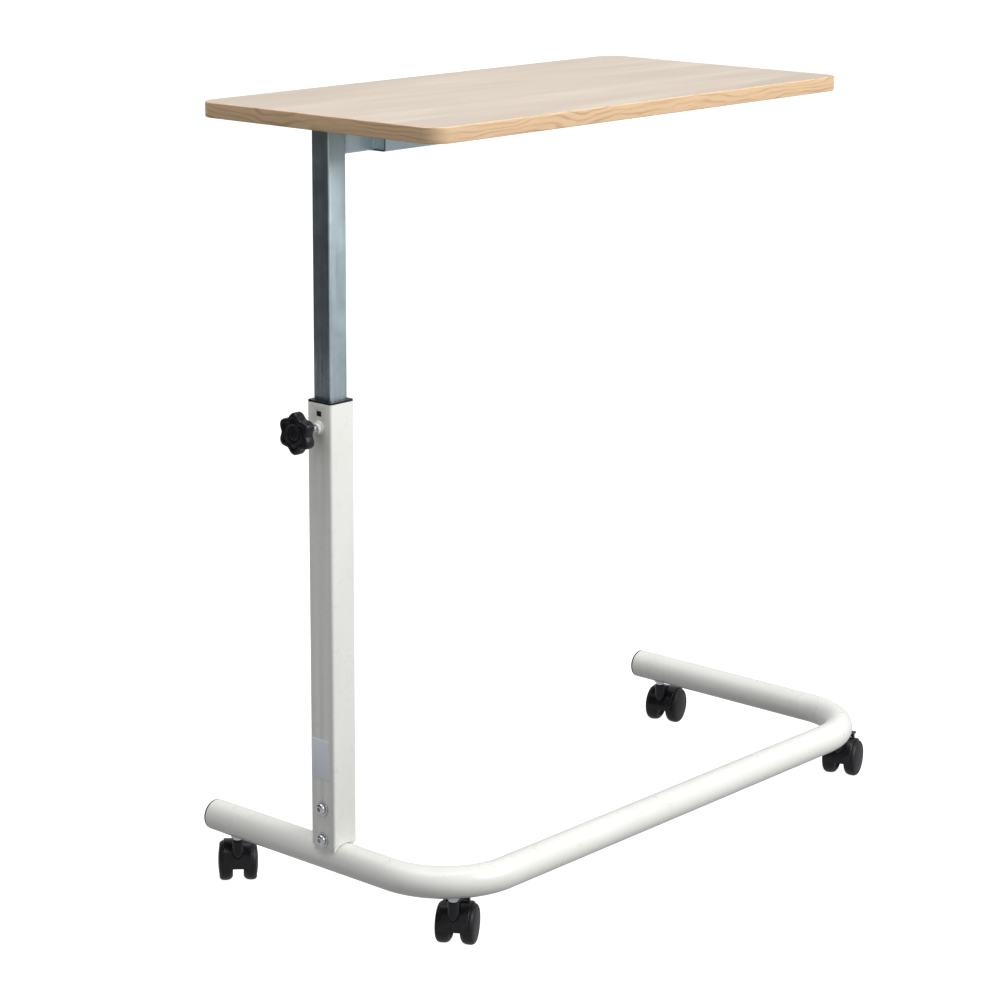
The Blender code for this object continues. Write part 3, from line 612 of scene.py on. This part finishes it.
def outer_post():
    """Square tube with round corners, its foot cut to an arc, with softened cut edges."""
    low, high = ends("outer_post")
    centre = (POST.x, POST.y)
    bore = POST_SIDE - 2 * POST_WALL
    outer = rounded_rectangle(POST_SIDE, POST_SIDE, POST_CORNER, 10, centre)
    inner = rounded_rectangle(bore, bore, POST_CORNER - POST_WALL, 10, centre)
    mesh = pipe(outer, inner, "Z", low.z, high.z)
    cope = circle(COPE_RADIUS, 160, (POST.x, TUBE_Z + COPE_RISE - COPE_RADIUS))
    mesh = cut(mesh, prism(cope, "Y", POST.y - 0.04, POST.y + 0.04))
    lug_z = high.z - LUG_DROP
    half_width, half_height = LUG_SIZE[0] / 2 + GAP, LUG_SIZE[1] / 2 + GAP
    window_outline = rounded_rectangle(2 * half_width, 2 * half_height, LUG_CORNER, 4, (POST.y, lug_z))
    mesh = cut(mesh, prism(window_outline, "X", POST_FACE - 0.01, POST_FACE + 0.01))
    pad_hole = circle(PAD_HOLE_RADIUS, 48, (CLAMP.y, CLAMP.z))
    mesh = cut(mesh, prism(pad_hole, "X", POST_FACE - 0.01, POST_FACE + 0.01))
    for level in ("lower", "upper"):
        hole = circle(BOLT_HOLE_RADIUS, 32, (POST.y, middle("post_bolt_" + level).z))
        mesh = cut(mesh, prism(hole, "X", POST_FACE - 0.01, POST_FACE + 0.01))
    return smooth(bevelled(mesh, 0.0004, 2, 55.0))


def post_bush():
    """Sleeve with a thin flange, softened all round, and the lug that snaps into the window."""
    low, high = ends("post_bush")
    centre = (POST.x, POST.y)
    bore_side = MAST_SIDE + 2 * GAP
    sleeve_side = POST_SIDE - 2 * POST_WALL - 2 * GAP
    seat = high_of("outer_post").z + GAP
    edge = 0.0007

    def sleeve(side, corner, z):
        return at("Z", z, rounded_rectangle(side, side, corner, 10, centre))

    def ring(inset, z):
        return sleeve(POST_SIDE - 2 * inset, POST_CORNER - inset, z)

    loops = [sleeve(sleeve_side, 0.0010, low.z), sleeve(sleeve_side, 0.0010, seat), ring(0.0002, seat)]
    loops += [ring(0.0, seat + 0.0002), ring(0.0, high.z - edge)]
    loops += [ring(edge * drop, high.z - edge + edge * rise) for rise, drop in quarter(4)[1:]]
    loops.append(sleeve(bore_side + 0.0010, MAST_CORNER, high.z))
    loops.append(sleeve(bore_side, MAST_CORNER, high.z - 0.0005))
    loops.append(sleeve(bore_side, MAST_CORNER, low.z))
    mesh = skin(loops, closed=True)
    lug_z = high_of("outer_post").z - LUG_DROP
    lug_outline = rounded_rectangle(LUG_SIZE[0], LUG_SIZE[1], LUG_CORNER, 4, (POST.y, lug_z))
    lug = prism(lug_outline, "X", POST_FACE + 0.0003, POST_FACE + POST_WALL + 0.0013)
    mesh = join(mesh, bevelled(lug, 0.0004, 2, 60.0))
    pad_hole = circle(PAD_HOLE_RADIUS, 32, (CLAMP.y, CLAMP.z))
    return smooth(cut(mesh, prism(pad_hole, "X", POST_FACE - 0.02, POST.x)))


def post_washer(node):
    low, high = ends(node)
    place = middle(node)
    outer, inner = (high.z - low.z) / 2, BOLT_HOLE_RADIUS
    corners = ((low.x, inner), (low.x, outer), (high.x, outer), (high.x, inner))
    return smooth(turned(fillet(corners, 0.0004, 3, closed=True), "X", 64, (place.y, place.z), closed=True))


def post_bolt(node):
    """Button-head bolt: domed head with a flat crown, hexagon socket and a shank with a chamfer."""
    low, high = ends(node)
    place = middle(node)
    head_radius, shank_radius, head_height = (high.z - low.z) / 2, 0.0040, 0.0044
    seat = low.x + head_height
    dome = [(seat - 0.0008 - 0.0036 * rise, head_radius - 0.0034 * drop) for rise, drop in quarter(10)]
    profile = [(high.x, shank_radius - 0.0007), (high.x - 0.0010, shank_radius), (seat, shank_radius)]
    profile += [(seat, head_radius - 0.0003), (seat - 0.0003, head_radius)] + dome
    mesh = turned(profile, "X", 64, (place.y, place.z))
    hexagon = arc(0.0029, 10.0, 310.0, 5, (place.y, place.z))
    mesh = cut(mesh, prism(hexagon, "X", low.x - 0.001, low.x + 0.0028))
    return smooth(bevelled(mesh, 0.0002, 2, 50.0), 30.0)


def post_label():
    """Plain film with round corners and a softened edge."""
    low, high = ends("post_label")
    width, height = high.y - low.y, high.z - low.z
    place = middle("post_label")
    loops = []
    for x, inset in ((high.x + GAP * 0.8, 0.0), (low.x + 0.0001, 0.0), (low.x, 0.0002)):
        outline = rounded_rectangle(width - 2 * inset, height - 2 * inset, 0.0020, 8, (place.y, place.z))
        loops.append(at("X", x, outline))
    return smooth(skin(loops), 50.0)


def weld_bead(points, radius):
    """A rippled bead along a line of points that lie in one plane across X."""
    ripple, pitch, spacing = 0.18, 0.0016, 0.00035
    line = [Vector(point) for point in points]
    stations = []
    for start, end in zip(line, line[1:]):
        count = max(2, int((end - start).length / spacing))
        stations += [start.lerp(end, step / count) for step in range(count)]
    stations.append(line[-1])
    loops = []
    travelled = 0.0
    for index, place in enumerate(stations):
        heading = (stations[min(index + 3, len(stations) - 1)] - stations[max(index - 3, 0)]).normalized()
        side = heading.cross(Vector((1.0, 0.0, 0.0))).normalized()
        other = heading.cross(side).normalized()
        travelled += (place - stations[index - 1]).length if index else 0.0
        phase = (travelled / pitch) % 1.0
        swell = radius * (1.0 - ripple * phase ** 2 + 0.08 * math.sin(travelled * 900.0))
        loops.append([place + side * a + other * b for a, b in circle(swell, 12)])
    return smooth(skin(loops), 80.0)


def build_post():
    add("post_outer_tube", outer_post(), WHITE, "base", "white_powder_coat", "outer_post")
    add("post_top_bush", post_bush(), BLACK, "base", "black_plastic", "post_bush")
    add("post_plain_label", post_label(), FILM, "base", "label_film", "post_label")
    for level in ("lower", "upper"):
        bolt, washer = "post_bolt_" + level, "post_washer_" + level
        add("button_bolt_" + level, post_bolt(bolt), STEEL, "base", "bright_steel", bolt)
        add("flat_washer_" + level, post_washer(washer), STEEL, "base", "bright_steel", washer)


# ---------------------------------------------------------------- clamp


def clamp_boss():
    """Weld nut with a hollow fillet of weld at its root, all under the powder coat."""
    low, high = ends("clamp_boss")
    face = high.x + GAP
    weld = (high.z - low.z) / 2
    root = [(face - 0.0026 * rise ** 1.5, weld - (weld - NUT_RADIUS) * drop ** 0.6)
            for rise, drop in quarter(9)]
    nut = fillet(((face - 0.0030, NUT_RADIUS), (low.x, NUT_RADIUS), (low.x, NUT_BORE + 0.0007),
                  (low.x + 0.0007, NUT_BORE)), 0.0009)
    profile = [(face, NUT_BORE)] + root + nut
    mesh = turned(profile, "X", 72, (CLAMP.y, CLAMP.z), closed=True)
    return smooth(mesh, 45.0)


def clamp_screw():
    """Threaded stud; the thread is a real helix."""
    low, high = ends("clamp_stud")
    radius, depth, around, per_turn = (high.z - low.z) / 2, 0.00065, 36, 10
    rows = int((high.x - low.x) / THREAD_PITCH * per_turn)
    loops = []
    for row in range(rows + 1):
        x = low.x + (high.x - low.x) * row / rows
        taper = min(1.0, (high.x - x) / 0.0012 + 0.25)
        loop = []
        for step in range(around):
            phase = (x / THREAD_PITCH + step / around) % 1.0
            flank = min(1.0, abs(phase - 0.5) * 2.5)
            turn = 2.0 * math.pi * step / around
            local = (radius - depth * flank) * (0.86 + 0.14 * taper)
            loop.append(Vector((x, CLAMP.y + local * math.cos(turn), CLAMP.z + local * math.sin(turn))))
        loops.append(loop)
    return smooth(skin(loops), 60.0)


def star(radius, valley, inset, steps):
    """The knob's outline: round lobes that meet in softer valleys."""
    points = []
    for step in range(steps):
        turn = 2.0 * math.pi * step / steps - math.pi / 2.0
        lobe = 0.5 + 0.5 * math.cos(6.0 * (turn + math.pi / 2.0))
        reach = valley + (radius - valley) * lobe ** 0.85 - inset
        points.append((reach * math.cos(turn), reach * math.sin(turn)))
    return points


def clamp_knob():
    """Six-lobed knob: rounded rims, a raised border, a dished face with rings, and a hub behind."""
    low, high = ends("clamp_knob")
    radius = (high.z - low.z) / 2
    valley = radius * KNOB_VALLEY
    steps, front, hub = 180, low.x, high.x
    back = hub - KNOB_HUB_LENGTH

    def lobed(inset, x):
        return [Vector((x, CLAMP.y + a, CLAMP.z + b)) for a, b in star(radius, valley, inset, steps)]

    def ring(size, x):
        return [Vector((x, CLAMP.y + a, CLAMP.z + b)) for a, b in circle(size, steps)]

    loops = [ring(0.0041, front + 0.0055), ring(0.0041, hub - 0.0004), ring(0.0046, hub)]
    loops += [ring(0.0074, hub), ring(0.0080, hub - 0.0006), ring(0.0086, back + 0.0006), ring(0.0098, back)]
    loops += [ring(0.0130, back), lobed(0.0036, back)]
    loops += [lobed(0.0030 * (1 - rise), back - 0.0030 * drop) for rise, drop in quarter(6)[1:]]
    loops += [lobed(0.0034 * drop, front + 0.0034 * (1 - rise)) for rise, drop in quarter(6)]
    loops += [lobed(0.0044, front), lobed(0.0049, front + 0.0005), lobed(0.0056, front + 0.0007)]
    dish = ((0.0136, 0.0009), (0.0128, 0.0003), (0.0121, 0.0001), (0.0114, 0.0003), (0.0106, 0.0013),
            (0.0092, 0.0016), (0.0078, 0.0015), (0.0072, 0.0008), (0.0064, 0.0006), (0.0030, 0.0004),
            (0.0008, 0.0004))
    loops += [ring(size, front + depth) for size, depth in dish]
    return smooth(skin(loops), 40.0)


def build_clamp():
    add("clamp_weld_nut", clamp_boss(), WHITE, "base", "white_powder_coat", "clamp_boss")
    add("clamp_threaded_stud", clamp_screw(), STEEL, "clamp_screw", "bright_steel", "clamp_stud")
    add("clamp_star_knob", clamp_knob(), KNOB_BLACK, "clamp_screw", "knob_plastic", "clamp_knob")


# ---------------------------------------------------------------- mast and top


def square_tube(node, axis, corner, wall):
    low, high = ends(node)
    spans = {"X": (1, 2, 0), "Z": (0, 1, 2)}[axis]
    centre = ((low[spans[0]] + high[spans[0]]) / 2, (low[spans[1]] + high[spans[1]]) / 2)
    side = high[spans[0]] - low[spans[0]]
    outer = rounded_rectangle(side, side, corner, 10, centre)
    inner = rounded_rectangle(side - 2 * wall, side - 2 * wall, 0.0012, 10, centre)
    return smooth(bevelled(pipe(outer, inner, axis, low[spans[2]], high[spans[2]]), 0.0003, 2, 60.0))


def arm_weld(x, node):
    """Bead round the arm's sides and underside, where it meets the mast or the channel."""
    low, high = ends(node)
    inset, corner, radius = 0.0006, 0.0030, 0.0015
    near, far, under = low.y + inset, high.y - inset, low.z + inset
    points = [(x, near, high.z), (x, near, low.z + corner), (x, low.y + corner, under),
              (x, high.y - corner, under), (x, far, low.z + corner), (x, far, high.z)]
    return weld_bead(points, radius)


def sheet_section(path, thickness):
    """Closed outline of a bent sheet, from the line along its middle."""
    sides = ([], [])
    for index, point in enumerate(path):
        before = Vector(path[max(index - 1, 0)])
        after = Vector(path[min(index + 1, len(path) - 1)])
        heading = (after - before).normalized()
        normal = Vector((-heading.y, heading.x)) * (thickness / 2)
        sides[0].append(tuple(Vector(point) + normal))
        sides[1].append(tuple(Vector(point) - normal))
    return sides[0] + sides[1][::-1]


def top_channel():
    """Folded pan with bent edges, and a closing plate welded in each end."""
    low, high = ends("top_channel")
    reach = (high.y - low.y) / 2
    half = reach - CHANNEL_FLANGE
    top, bottom, offset = high.z - SHEET / 2, low.z + SHEET / 2, SHEET / 2
    middle_y = (low.y + high.y) / 2
    corners = ((-reach, top), (offset - half, top), (offset - half, bottom), (half - offset, bottom),
               (half - offset, top), (reach, top))
    path = fillet([(middle_y + y, z) for y, z in corners], 0.0026, 6)
    folded = prism(sheet_section(path, SHEET), "X", low.x, high.x)
    plates = []
    for start in (low.x, high.x - SHEET):
        outline = rounded_rectangle(2 * half - 0.0012, top - bottom + 0.0006, 0.0016, 6,
                                    (middle_y, (top + bottom) / 2))
        plates.append(bevelled(prism(outline, "X", start, start + SHEET), 0.0003, 2, 60.0))
    for screw in TOP_SCREWS:
        place = middle(screw)
        hole = circle(0.0024, 24, (place.x, place.y))
        folded = cut(folded, prism(hole, "Z", high.z - 0.006, high.z + 0.006))
    return smooth(together(folded, *plates), 30.0)


def top_screw(node):
    """Pan-head screw with a cross recess, and a thread in the board."""
    low, high = ends(node)
    place = middle(node)
    head, shank, tall = (high.x - low.x) / 2, 0.0020, 0.0024
    seat = low.z + tall
    crown = [(low.z + 0.0016 * drop, head * (0.42 + 0.58 * rise)) for rise, drop in quarter(9)]
    profile = [(low.z, head * 0.20)] + crown + [(seat, head), (seat, shank)]
    thread_rows = 36
    for row in range(thread_rows):
        z = seat + 0.0010 + (high.z - seat - 0.0030) * row / thread_rows
        profile.append((z, shank - (0.00045 if row % 2 else 0.0)))
    profile.append((high.z, shank * 0.25))
    mesh = turned(profile, "Z", 40, (place.x, place.y))
    for width, length in ((0.0009, 0.0048), (0.0048, 0.0009)):
        slot_low = (place.x - width / 2, place.y - length / 2, low.z - 0.001)
        slot_high = (place.x + width / 2, place.y + length / 2, low.z + 0.0013)
        mesh = cut(mesh, box(slot_low, slot_high))
    return smooth(mesh, 30.0)


def board_outline(inset):
    low, high = ends("edge_band")
    centre = ((low.x + high.x) / 2, (low.y + high.y) / 2)
    length, width = high.x - low.x - 2 * inset, high.y - low.y - 2 * inset
    return rounded_rectangle(length, width, BOARD_CORNER - inset, 24, centre)


def tabletop_board():
    low, high = ends("tabletop_board")
    edge = 0.0002
    levels = ((edge, low.z), (0.0, low.z + edge), (0.0, high.z - edge), (edge, high.z))
    inset = BAND_THICKNESS + 0.00005
    loops = [at("Z", z, board_outline(inset + more)) for more, z in levels]
    return smooth(skin(loops), 30.0)


def edge_band():
    """Band round the board, with its outer edges rounded over."""
    low, high = ends("edge_band")
    edge = 0.0011
    levels = [(BAND_THICKNESS, low.z + edge), (BAND_THICKNESS, low.z)]
    levels += [(edge * (1 - rise), low.z + edge * drop) for rise, drop in quarter(6)]
    levels += [(edge * drop, high.z - edge * (1 - rise)) for rise, drop in quarter(6)]
    levels += [(BAND_THICKNESS, high.z), (BAND_THICKNESS, high.z - edge)]
    loops = [at("Z", z, board_outline(inset)) for inset, z in levels]
    return smooth(skin(loops, closed=True), 40.0)


def build_top():
    mast = square_tube("inner_post", "Z", MAST_CORNER, MAST_WALL)
    add("mast_tube", mast, ZINC_UPRIGHT, "mast", "zinc_plate", "inner_post")
    arm = square_tube("support_arm", "X", MAST_CORNER, MAST_WALL)
    add("arm_tube", arm, ZINC_LENGTHWISE, "mast", "zinc_plate", "support_arm")
    mast_face = high_of("inner_post").x + 0.0002
    add("arm_weld_mast", arm_weld(mast_face, "support_arm"), ZINC_CAST, "mast", "zinc_plate")
    channel_face = low_of("top_channel").x - 0.0002
    add("arm_weld_channel", arm_weld(channel_face, "support_arm"), ZINC_CAST, "mast", "zinc_plate")
    add("channel_folded", top_channel(), ZINC_LENGTHWISE, "mast", "zinc_plate", "top_channel")
    add("board_oak", tabletop_board(), LAMINATE, "mast", "oak_laminate", "tabletop_board")
    add("board_edge_band", edge_band(), EDGE_PRINT, "mast", "oak_edge_band", "edge_band")
    for number, node in enumerate(TOP_SCREWS, 1):
        add("pan_head_%d" % number, top_screw(node), STEEL, "mast", "bright_steel", node)


# ---------------------------------------------------------------- castors
# Each castor is drawn around its swivel axis, with the wheels trailing towards +X, and then turned.


def castor_trail():
    swivel = Vector(JOINTS["swivel_rear_left"]["pos_m"])
    axle = Vector(JOINTS["roll_rear_left_a"]["pos_m"])
    return (axle - swivel).to_2d().length


TRAIL = castor_trail()
AXLE = (TRAIL, WHEEL_RADIUS)


def castor_place(corner):
    swivel = Vector(JOINTS["swivel_" + corner]["pos_m"])
    ahead = Vector(JOINTS["roll_%s_a" % corner]["pos_m"]) - swivel
    turn = math.atan2(ahead.y, ahead.x)
    return Matrix.Translation((swivel.x, swivel.y, 0.0)) @ Matrix.Rotation(turn, 4, "Z")


def castor_socket():
    """Insert in the base tube, whose thin flange shows below it."""
    low, high = low_of("castor_socket_rear_left").z, high_of("castor_socket_rear_left").z
    roof, bore = high - 0.0027, 0.0053
    walls = ((roof, bore), (low, bore), (low, SOCKET_RADIUS), (high, SOCKET_RADIUS), (high, 0.0010))
    return smooth(turned([(roof, 0.0010)] + fillet(walls, 0.0004, 3), "Z", 48))


def castor_stem():
    """Stem with a bright collar between the hood and the socket."""
    low, high = low_of("castor_stem_rear_left").z, high_of("castor_stem_rear_left").z
    collar_top = low_of("castor_socket_rear_left").z - GAP
    profile = fillet((
        (low, 0.0010), (low, 0.0032), (low + 0.0010, 0.0039), (HOOD_TOP + GAP, 0.0039),
        (HOOD_TOP + GAP, 0.0055), (collar_top, 0.0055), (collar_top, 0.0050), (high - 0.0010, 0.0050),
        (high, 0.0042), (high, 0.0010),
    ), 0.0005, 3)
    return smooth(turned(profile, "Z", 48))


def hood_shell():
    """Curved cover over the wheels, crowned across and rounded along all its edges."""
    half, thick, steps, end_steps = HOOD_HALF_WIDTH, HOOD_SHELL, 84, 5

    def section(shrink):
        outline = fillet(((-half, 0.0), (-half, thick), (half, thick), (half, 0.0)), 0.0010, 4, closed=True)
        points = []
        for y, rise in outline:
            crown = 0.0007 * (y / half) ** 4 if rise > thick / 2 else 0.0
            points.append((y * (1 - shrink * 0.05), thick / 2 + (rise - crown - thick / 2) * (1 - shrink)))
        return points

    loops = []
    for step in range(steps + 1):
        angle = HOOD_REAR_DEGREES + (HOOD_FRONT_DEGREES - HOOD_REAR_DEGREES) * step / steps
        nearest_end = min(step, steps - step)
        shrink = max(0.0, 1 - nearest_end / 2) ** 2 * 0.55
        loop = []
        for y, rise in section(shrink):
            radius = HOOD_RADIUS - HOOD_SHELL + rise
            a = math.radians(angle)
            loop.append(Vector((AXLE[0] + radius * math.cos(a), y, AXLE[1] + radius * math.sin(a))))
        loops.append(loop)
    return skin(loops)


def castor_hood(braked):
    """Cover, the web between the wheels, the stem's boss that fades into the front, and brake ears."""
    mesh = hood_shell()
    rim = HOOD_RADIUS - HOOD_SHELL / 2
    web = arc(rim, HOOD_REAR_DEGREES + 4.0, HOOD_FRONT_DEGREES - 2.0, 48, AXLE)
    web += arc(0.0080, 215.0, 350.0, 16, AXLE)
    mesh = join(mesh, bevelled(prism(web, "Y", -WEB_HALF_WIDTH, WEB_HALF_WIDTH), 0.0007, 3, 50.0))
    profile = [(BOSS_BOTTOM, 0.0012)]
    for step in range(1, 13):
        share = step / 12
        radius = BOSS_RADIUS * math.sin(math.radians(90 * share)) ** 0.7
        profile.append((BOSS_BOTTOM + 0.0115 * share, radius))
    crown = ((HOOD_TOP - 0.0100, BOSS_RADIUS), (HOOD_TOP, BOSS_RADIUS), (HOOD_TOP, 0.0010))
    profile += fillet(crown, 0.0009)
    boss = turned(profile, "Z", 64)
    reach = circle(rim, 120, AXLE)
    mesh = join(mesh, cut(boss, prism(reach, "Y", -0.02, 0.02)))
    fairing = [(0.0, HOOD_TOP - 0.0006), (TRAIL - 0.002, AXLE[1] + HOOD_RADIUS + 0.0008),
               (TRAIL - 0.002, AXLE[1] + rim), (0.0, HOOD_TOP - 0.016)]
    fairing = cut(prism(fairing, "Y", -0.0046, 0.0046), prism(reach, "Y", -0.02, 0.02))
    mesh = join(mesh, bevelled(fairing, 0.0012, 3, 50.0))
    if braked:
        for side in (-1, 1):
            mesh = join(mesh, brake_ear(side))
    pin = prism(circle(0.0042, 48), "Z", HOOD_TOP - 0.0130, HOOD_TOP + 0.01)
    bore = prism(circle(AXLE_BORE, 40, AXLE), "Y", -0.02, 0.02)
    return smooth(cut(mesh, pin, bore), 32.0)


def brake_ear(side):
    x, z = PEDAL_PIVOT
    outline = arc(0.0030, 0.0, 180.0, 14, (x, z)) + [(x - 0.0046, z - 0.0048), (x + 0.0046, z - 0.0055)]
    near = PEDAL_HALF_WIDTH + GAP
    ear = bevelled(prism(outline, "Y", *sorted((side * near, side * (near + 0.0022)))), 0.0004, 2, 50.0)
    return cut(ear, prism(circle(0.0015, 24, (x, z)), "Y", -0.02, 0.02))


def brake_pedal():
    """Foot lever with ribs across its tread and its pins, drawn around the pins' axis."""
    barrel = arc(0.0026, 90.0, 270.0, 14)
    reach = PEDAL_REACH
    tip = [(reach, -0.0030), (reach + 0.0003, 0.0003), (reach * 0.82, -0.0004), (reach * 0.40, 0.0010)]
    mesh = prism(barrel + [(reach * 0.50, -0.0022)] + tip, "Y", -PEDAL_HALF_WIDTH, PEDAL_HALF_WIDTH)
    mesh = bevelled(mesh, 0.0006, 3, 35.0)
    for rib in range(3):
        x = reach * (0.48 + 0.13 * rib)
        height = 0.0010 - 0.0014 * (x / reach - 0.40) / 0.42
        rib_end = PEDAL_HALF_WIDTH - 0.0014
        mesh = join(mesh, prism(circle(0.0006, 16, (x, height)), "Y", -rib_end, rib_end))
    pin_reach = PEDAL_HALF_WIDTH + GAP + 0.0018
    mesh = join(mesh, bevelled(prism(circle(0.0012, 24), "Y", -pin_reach, pin_reach), 0.0002, 2, 60.0))
    return smooth(mesh, 32.0)


def castor_wheel(side):
    """Wheel with a rounded tread, a ring groove and a domed outer face, drawn around the axle."""
    profile = fillet((
        (WHEEL_OUTER - 0.0032, AXLE_BORE), (WHEEL_INNER, AXLE_BORE), (WHEEL_INNER, 0.0078),
        (WHEEL_INNER + 0.0030, 0.0088),
        (WHEEL_INNER + 0.0034, 0.0170), (WHEEL_INNER + 0.0004, 0.0184), (WHEEL_INNER, WHEEL_RADIUS - 0.0050),
        (WHEEL_INNER + 0.0022, WHEEL_RADIUS - 0.0018), (WHEEL_INNER + 0.0052, WHEEL_RADIUS - 0.0004),
        (0.0155, WHEEL_RADIUS), (0.0195, WHEEL_RADIUS - 0.0001),
        (0.0222, WHEEL_RADIUS - 0.0014), (0.0235, 0.0212), (0.0231, 0.0203), (0.0224, 0.0198),
        (0.0232, 0.0190), (0.0240, 0.0150), (0.0247, 0.0090), (0.0250, 0.0040), (0.0250, 0.0006),
    ), 0.0010, 3)
    sided = [(side * distance, radius) for distance, radius in profile]
    sided.insert(0, (side * (WHEEL_OUTER - 0.0032), 0.0006))
    return smooth(turned(sided, "Y", 112), 32.0)


def build_castors():
    hoods = {braked: castor_hood(braked) for braked in (True, False)}
    wheels = {"a": castor_wheel(-1), "b": castor_wheel(1)}
    socket, stem, pedal = castor_socket(), castor_stem(), brake_pedal()
    hub = Matrix.Translation((TRAIL, 0.0, WHEEL_RADIUS))
    pivot = Matrix.Translation((PEDAL_PIVOT[0], 0.0, PEDAL_PIVOT[1]))
    for corner in CORNERS:
        place = castor_place(corner)
        braked = corner in BRAKED
        for name, mesh, material, rides_on, slot in (
                ("socket_", socket, ZINC_CAST, "base", "zinc_plate"),
                ("stem_", stem, STEEL, "base", "bright_steel"),
                ("hood_", hoods[braked], BLACK, "castor_" + corner, "black_plastic")):
            add(name + corner, moved(mesh, place), material, rides_on, slot, "castor_" + name + corner)
        for letter, wheel in wheels.items():
            node = "castor_wheel_%s_%s" % (corner, letter)
            rolling = "wheel_%s_%s" % (corner, letter)
            add("%s_nylon" % rolling, moved(wheel, place @ hub), WHEEL_BLACK, rolling, "wheel_tread", node)
        if braked:
            add("foot_lever_" + corner, moved(pedal, place @ pivot), BLACK, "pedal_" + corner,
                "black_plastic", "brake_pedal_" + corner)


# ---------------------------------------------------------------- frame nodes that stay


def dress_kept_nodes():
    """Inner pieces whose CAD shape is right keep it, with a finished material."""
    kept = {"post_stub": WHITE, "clamp_pad": BRASS, "inner_post_foot": NYLON}
    for level in ("lower", "upper"):
        kept["post_nut_" + level] = ZINC_CAST
    for corner in CORNERS:
        kept["castor_axle_" + corner] = STEEL
    for node, material in kept.items():
        mesh = frame["nodes"][node].data
        mesh.materials.clear()
        mesh.materials.append(material)


# ---------------------------------------------------------------- camera, floor and light

CAMERA_FROM_POST = Vector((-2.3229, -2.3013, 1.2764))    # from the post's axis, above the tube's axis
CAMERA_YAW = math.radians(48.403)
CAMERA_PITCH = math.radians(14.206)
CAMERA_ROLL = math.radians(0.295)
CAMERA_LENS = 104.208
CAMERA_SHIFT = (0.0150, -0.0073)


def add_camera():
    forward = Vector((math.sin(CAMERA_YAW) * math.cos(CAMERA_PITCH),
                      math.cos(CAMERA_YAW) * math.cos(CAMERA_PITCH), -math.sin(CAMERA_PITCH)))
    level = Vector((math.cos(CAMERA_YAW), -math.sin(CAMERA_YAW), 0.0))
    upright = level.cross(forward)
    right = level * math.cos(CAMERA_ROLL) + upright * math.sin(CAMERA_ROLL)
    up = upright * math.cos(CAMERA_ROLL) - level * math.sin(CAMERA_ROLL)
    turn = Matrix((right, up, -forward)).transposed().to_4x4()
    data = bpy.data.cameras.new("camera")
    data.lens = CAMERA_LENS
    data.sensor_width = 36.0
    data.shift_x, data.shift_y = CAMERA_SHIFT
    camera = bpy.data.objects.new("camera", data)
    place = Vector((POST.x, POST.y, TUBE_Z)) + CAMERA_FROM_POST
    camera.matrix_world = Matrix.Translation(place) @ turn
    bpy.context.scene.collection.objects.link(camera)
    bpy.context.scene.camera = camera


def add_area_light(name, place, target, size, power):
    data = bpy.data.lights.new(name, "AREA")
    data.shape = "RECTANGLE"
    data.size, data.size_y = size
    data.energy = power
    light = bpy.data.objects.new(name, data)
    aim = Vector(target) - Vector(place)
    light.rotation_euler = aim.to_track_quat("-Z", "Y").to_euler()
    light.location = place
    light.visible_camera = False
    bpy.context.scene.collection.objects.link(light)


def add_floor():
    floor = Finish("floor_white", (0.30, 0.30, 0.30), 0.9, Emission_Color=(1.0, 1.0, 1.0, 1.0),
                   Emission_Strength=0.98)
    outline = rounded_rectangle(70.0, 70.0, 10.0, 12)
    mesh = prism(outline, "Z", -0.05, -0.0002)
    piece = bpy.data.objects.new("floor", mesh)
    mesh.materials.append(floor.material)
    piece.visible_glossy = False
    piece.visible_diffuse = False
    bpy.context.scene.collection.objects.link(piece)
    shade = bpy.data.objects.new("floor_shade", prism(outline, "Z", -0.08, -0.06))
    shade.data.materials.append(Finish("floor_grey", (0.30, 0.30, 0.30), 0.9).material)
    shade.visible_camera = False
    shade.visible_glossy = False
    bpy.context.scene.collection.objects.link(shade)


def add_dark_card():
    """A grey card beside the table, unseen by the camera, which keeps its left faces darker."""
    card = Finish("card_grey", (0.03, 0.03, 0.033), 0.8)
    outline = rounded_rectangle(2.6, 1.9, 0.05, 4)
    mesh = prism(outline, "Z", -0.01, 0.01)
    mesh.materials.append(card.material)
    piece = bpy.data.objects.new("card", mesh)
    facing = Vector((0.72, -0.60, 0.0))
    piece.matrix_world = (Matrix.Translation((POST.x - 1.25, POST.y + 0.75, 0.98))
                          @ facing.to_track_quat("Z", "Y").to_matrix().to_4x4())
    piece.visible_camera = False
    piece.visible_diffuse = False
    bpy.context.scene.collection.objects.link(piece)


def add_light():
    world = bpy.data.worlds.new("studio")
    world.use_nodes = True
    background = world.node_tree.nodes["Background"]
    background.inputs["Color"].default_value = (0.97, 0.985, 1.0, 1.0)
    background.inputs["Strength"].default_value = 0.50
    bpy.context.scene.world = world
    add_area_light("key", (0.9, -3.4, 2.6), (-0.1, 0.0, 0.45), (2.6, 2.2), 135.0)
    add_area_light("top", (-0.4, 0.2, 3.6), (0.0, 0.0, 0.5), (2.8, 2.8), 62.0)
    bpy.context.scene.view_settings.view_transform = "Standard"


# ---------------------------------------------------------------- build

add_camera()
build_base()
build_post()
build_clamp()
build_top()
build_castors()
dress_kept_nodes()
add_floor()
add_dark_card()
add_light()
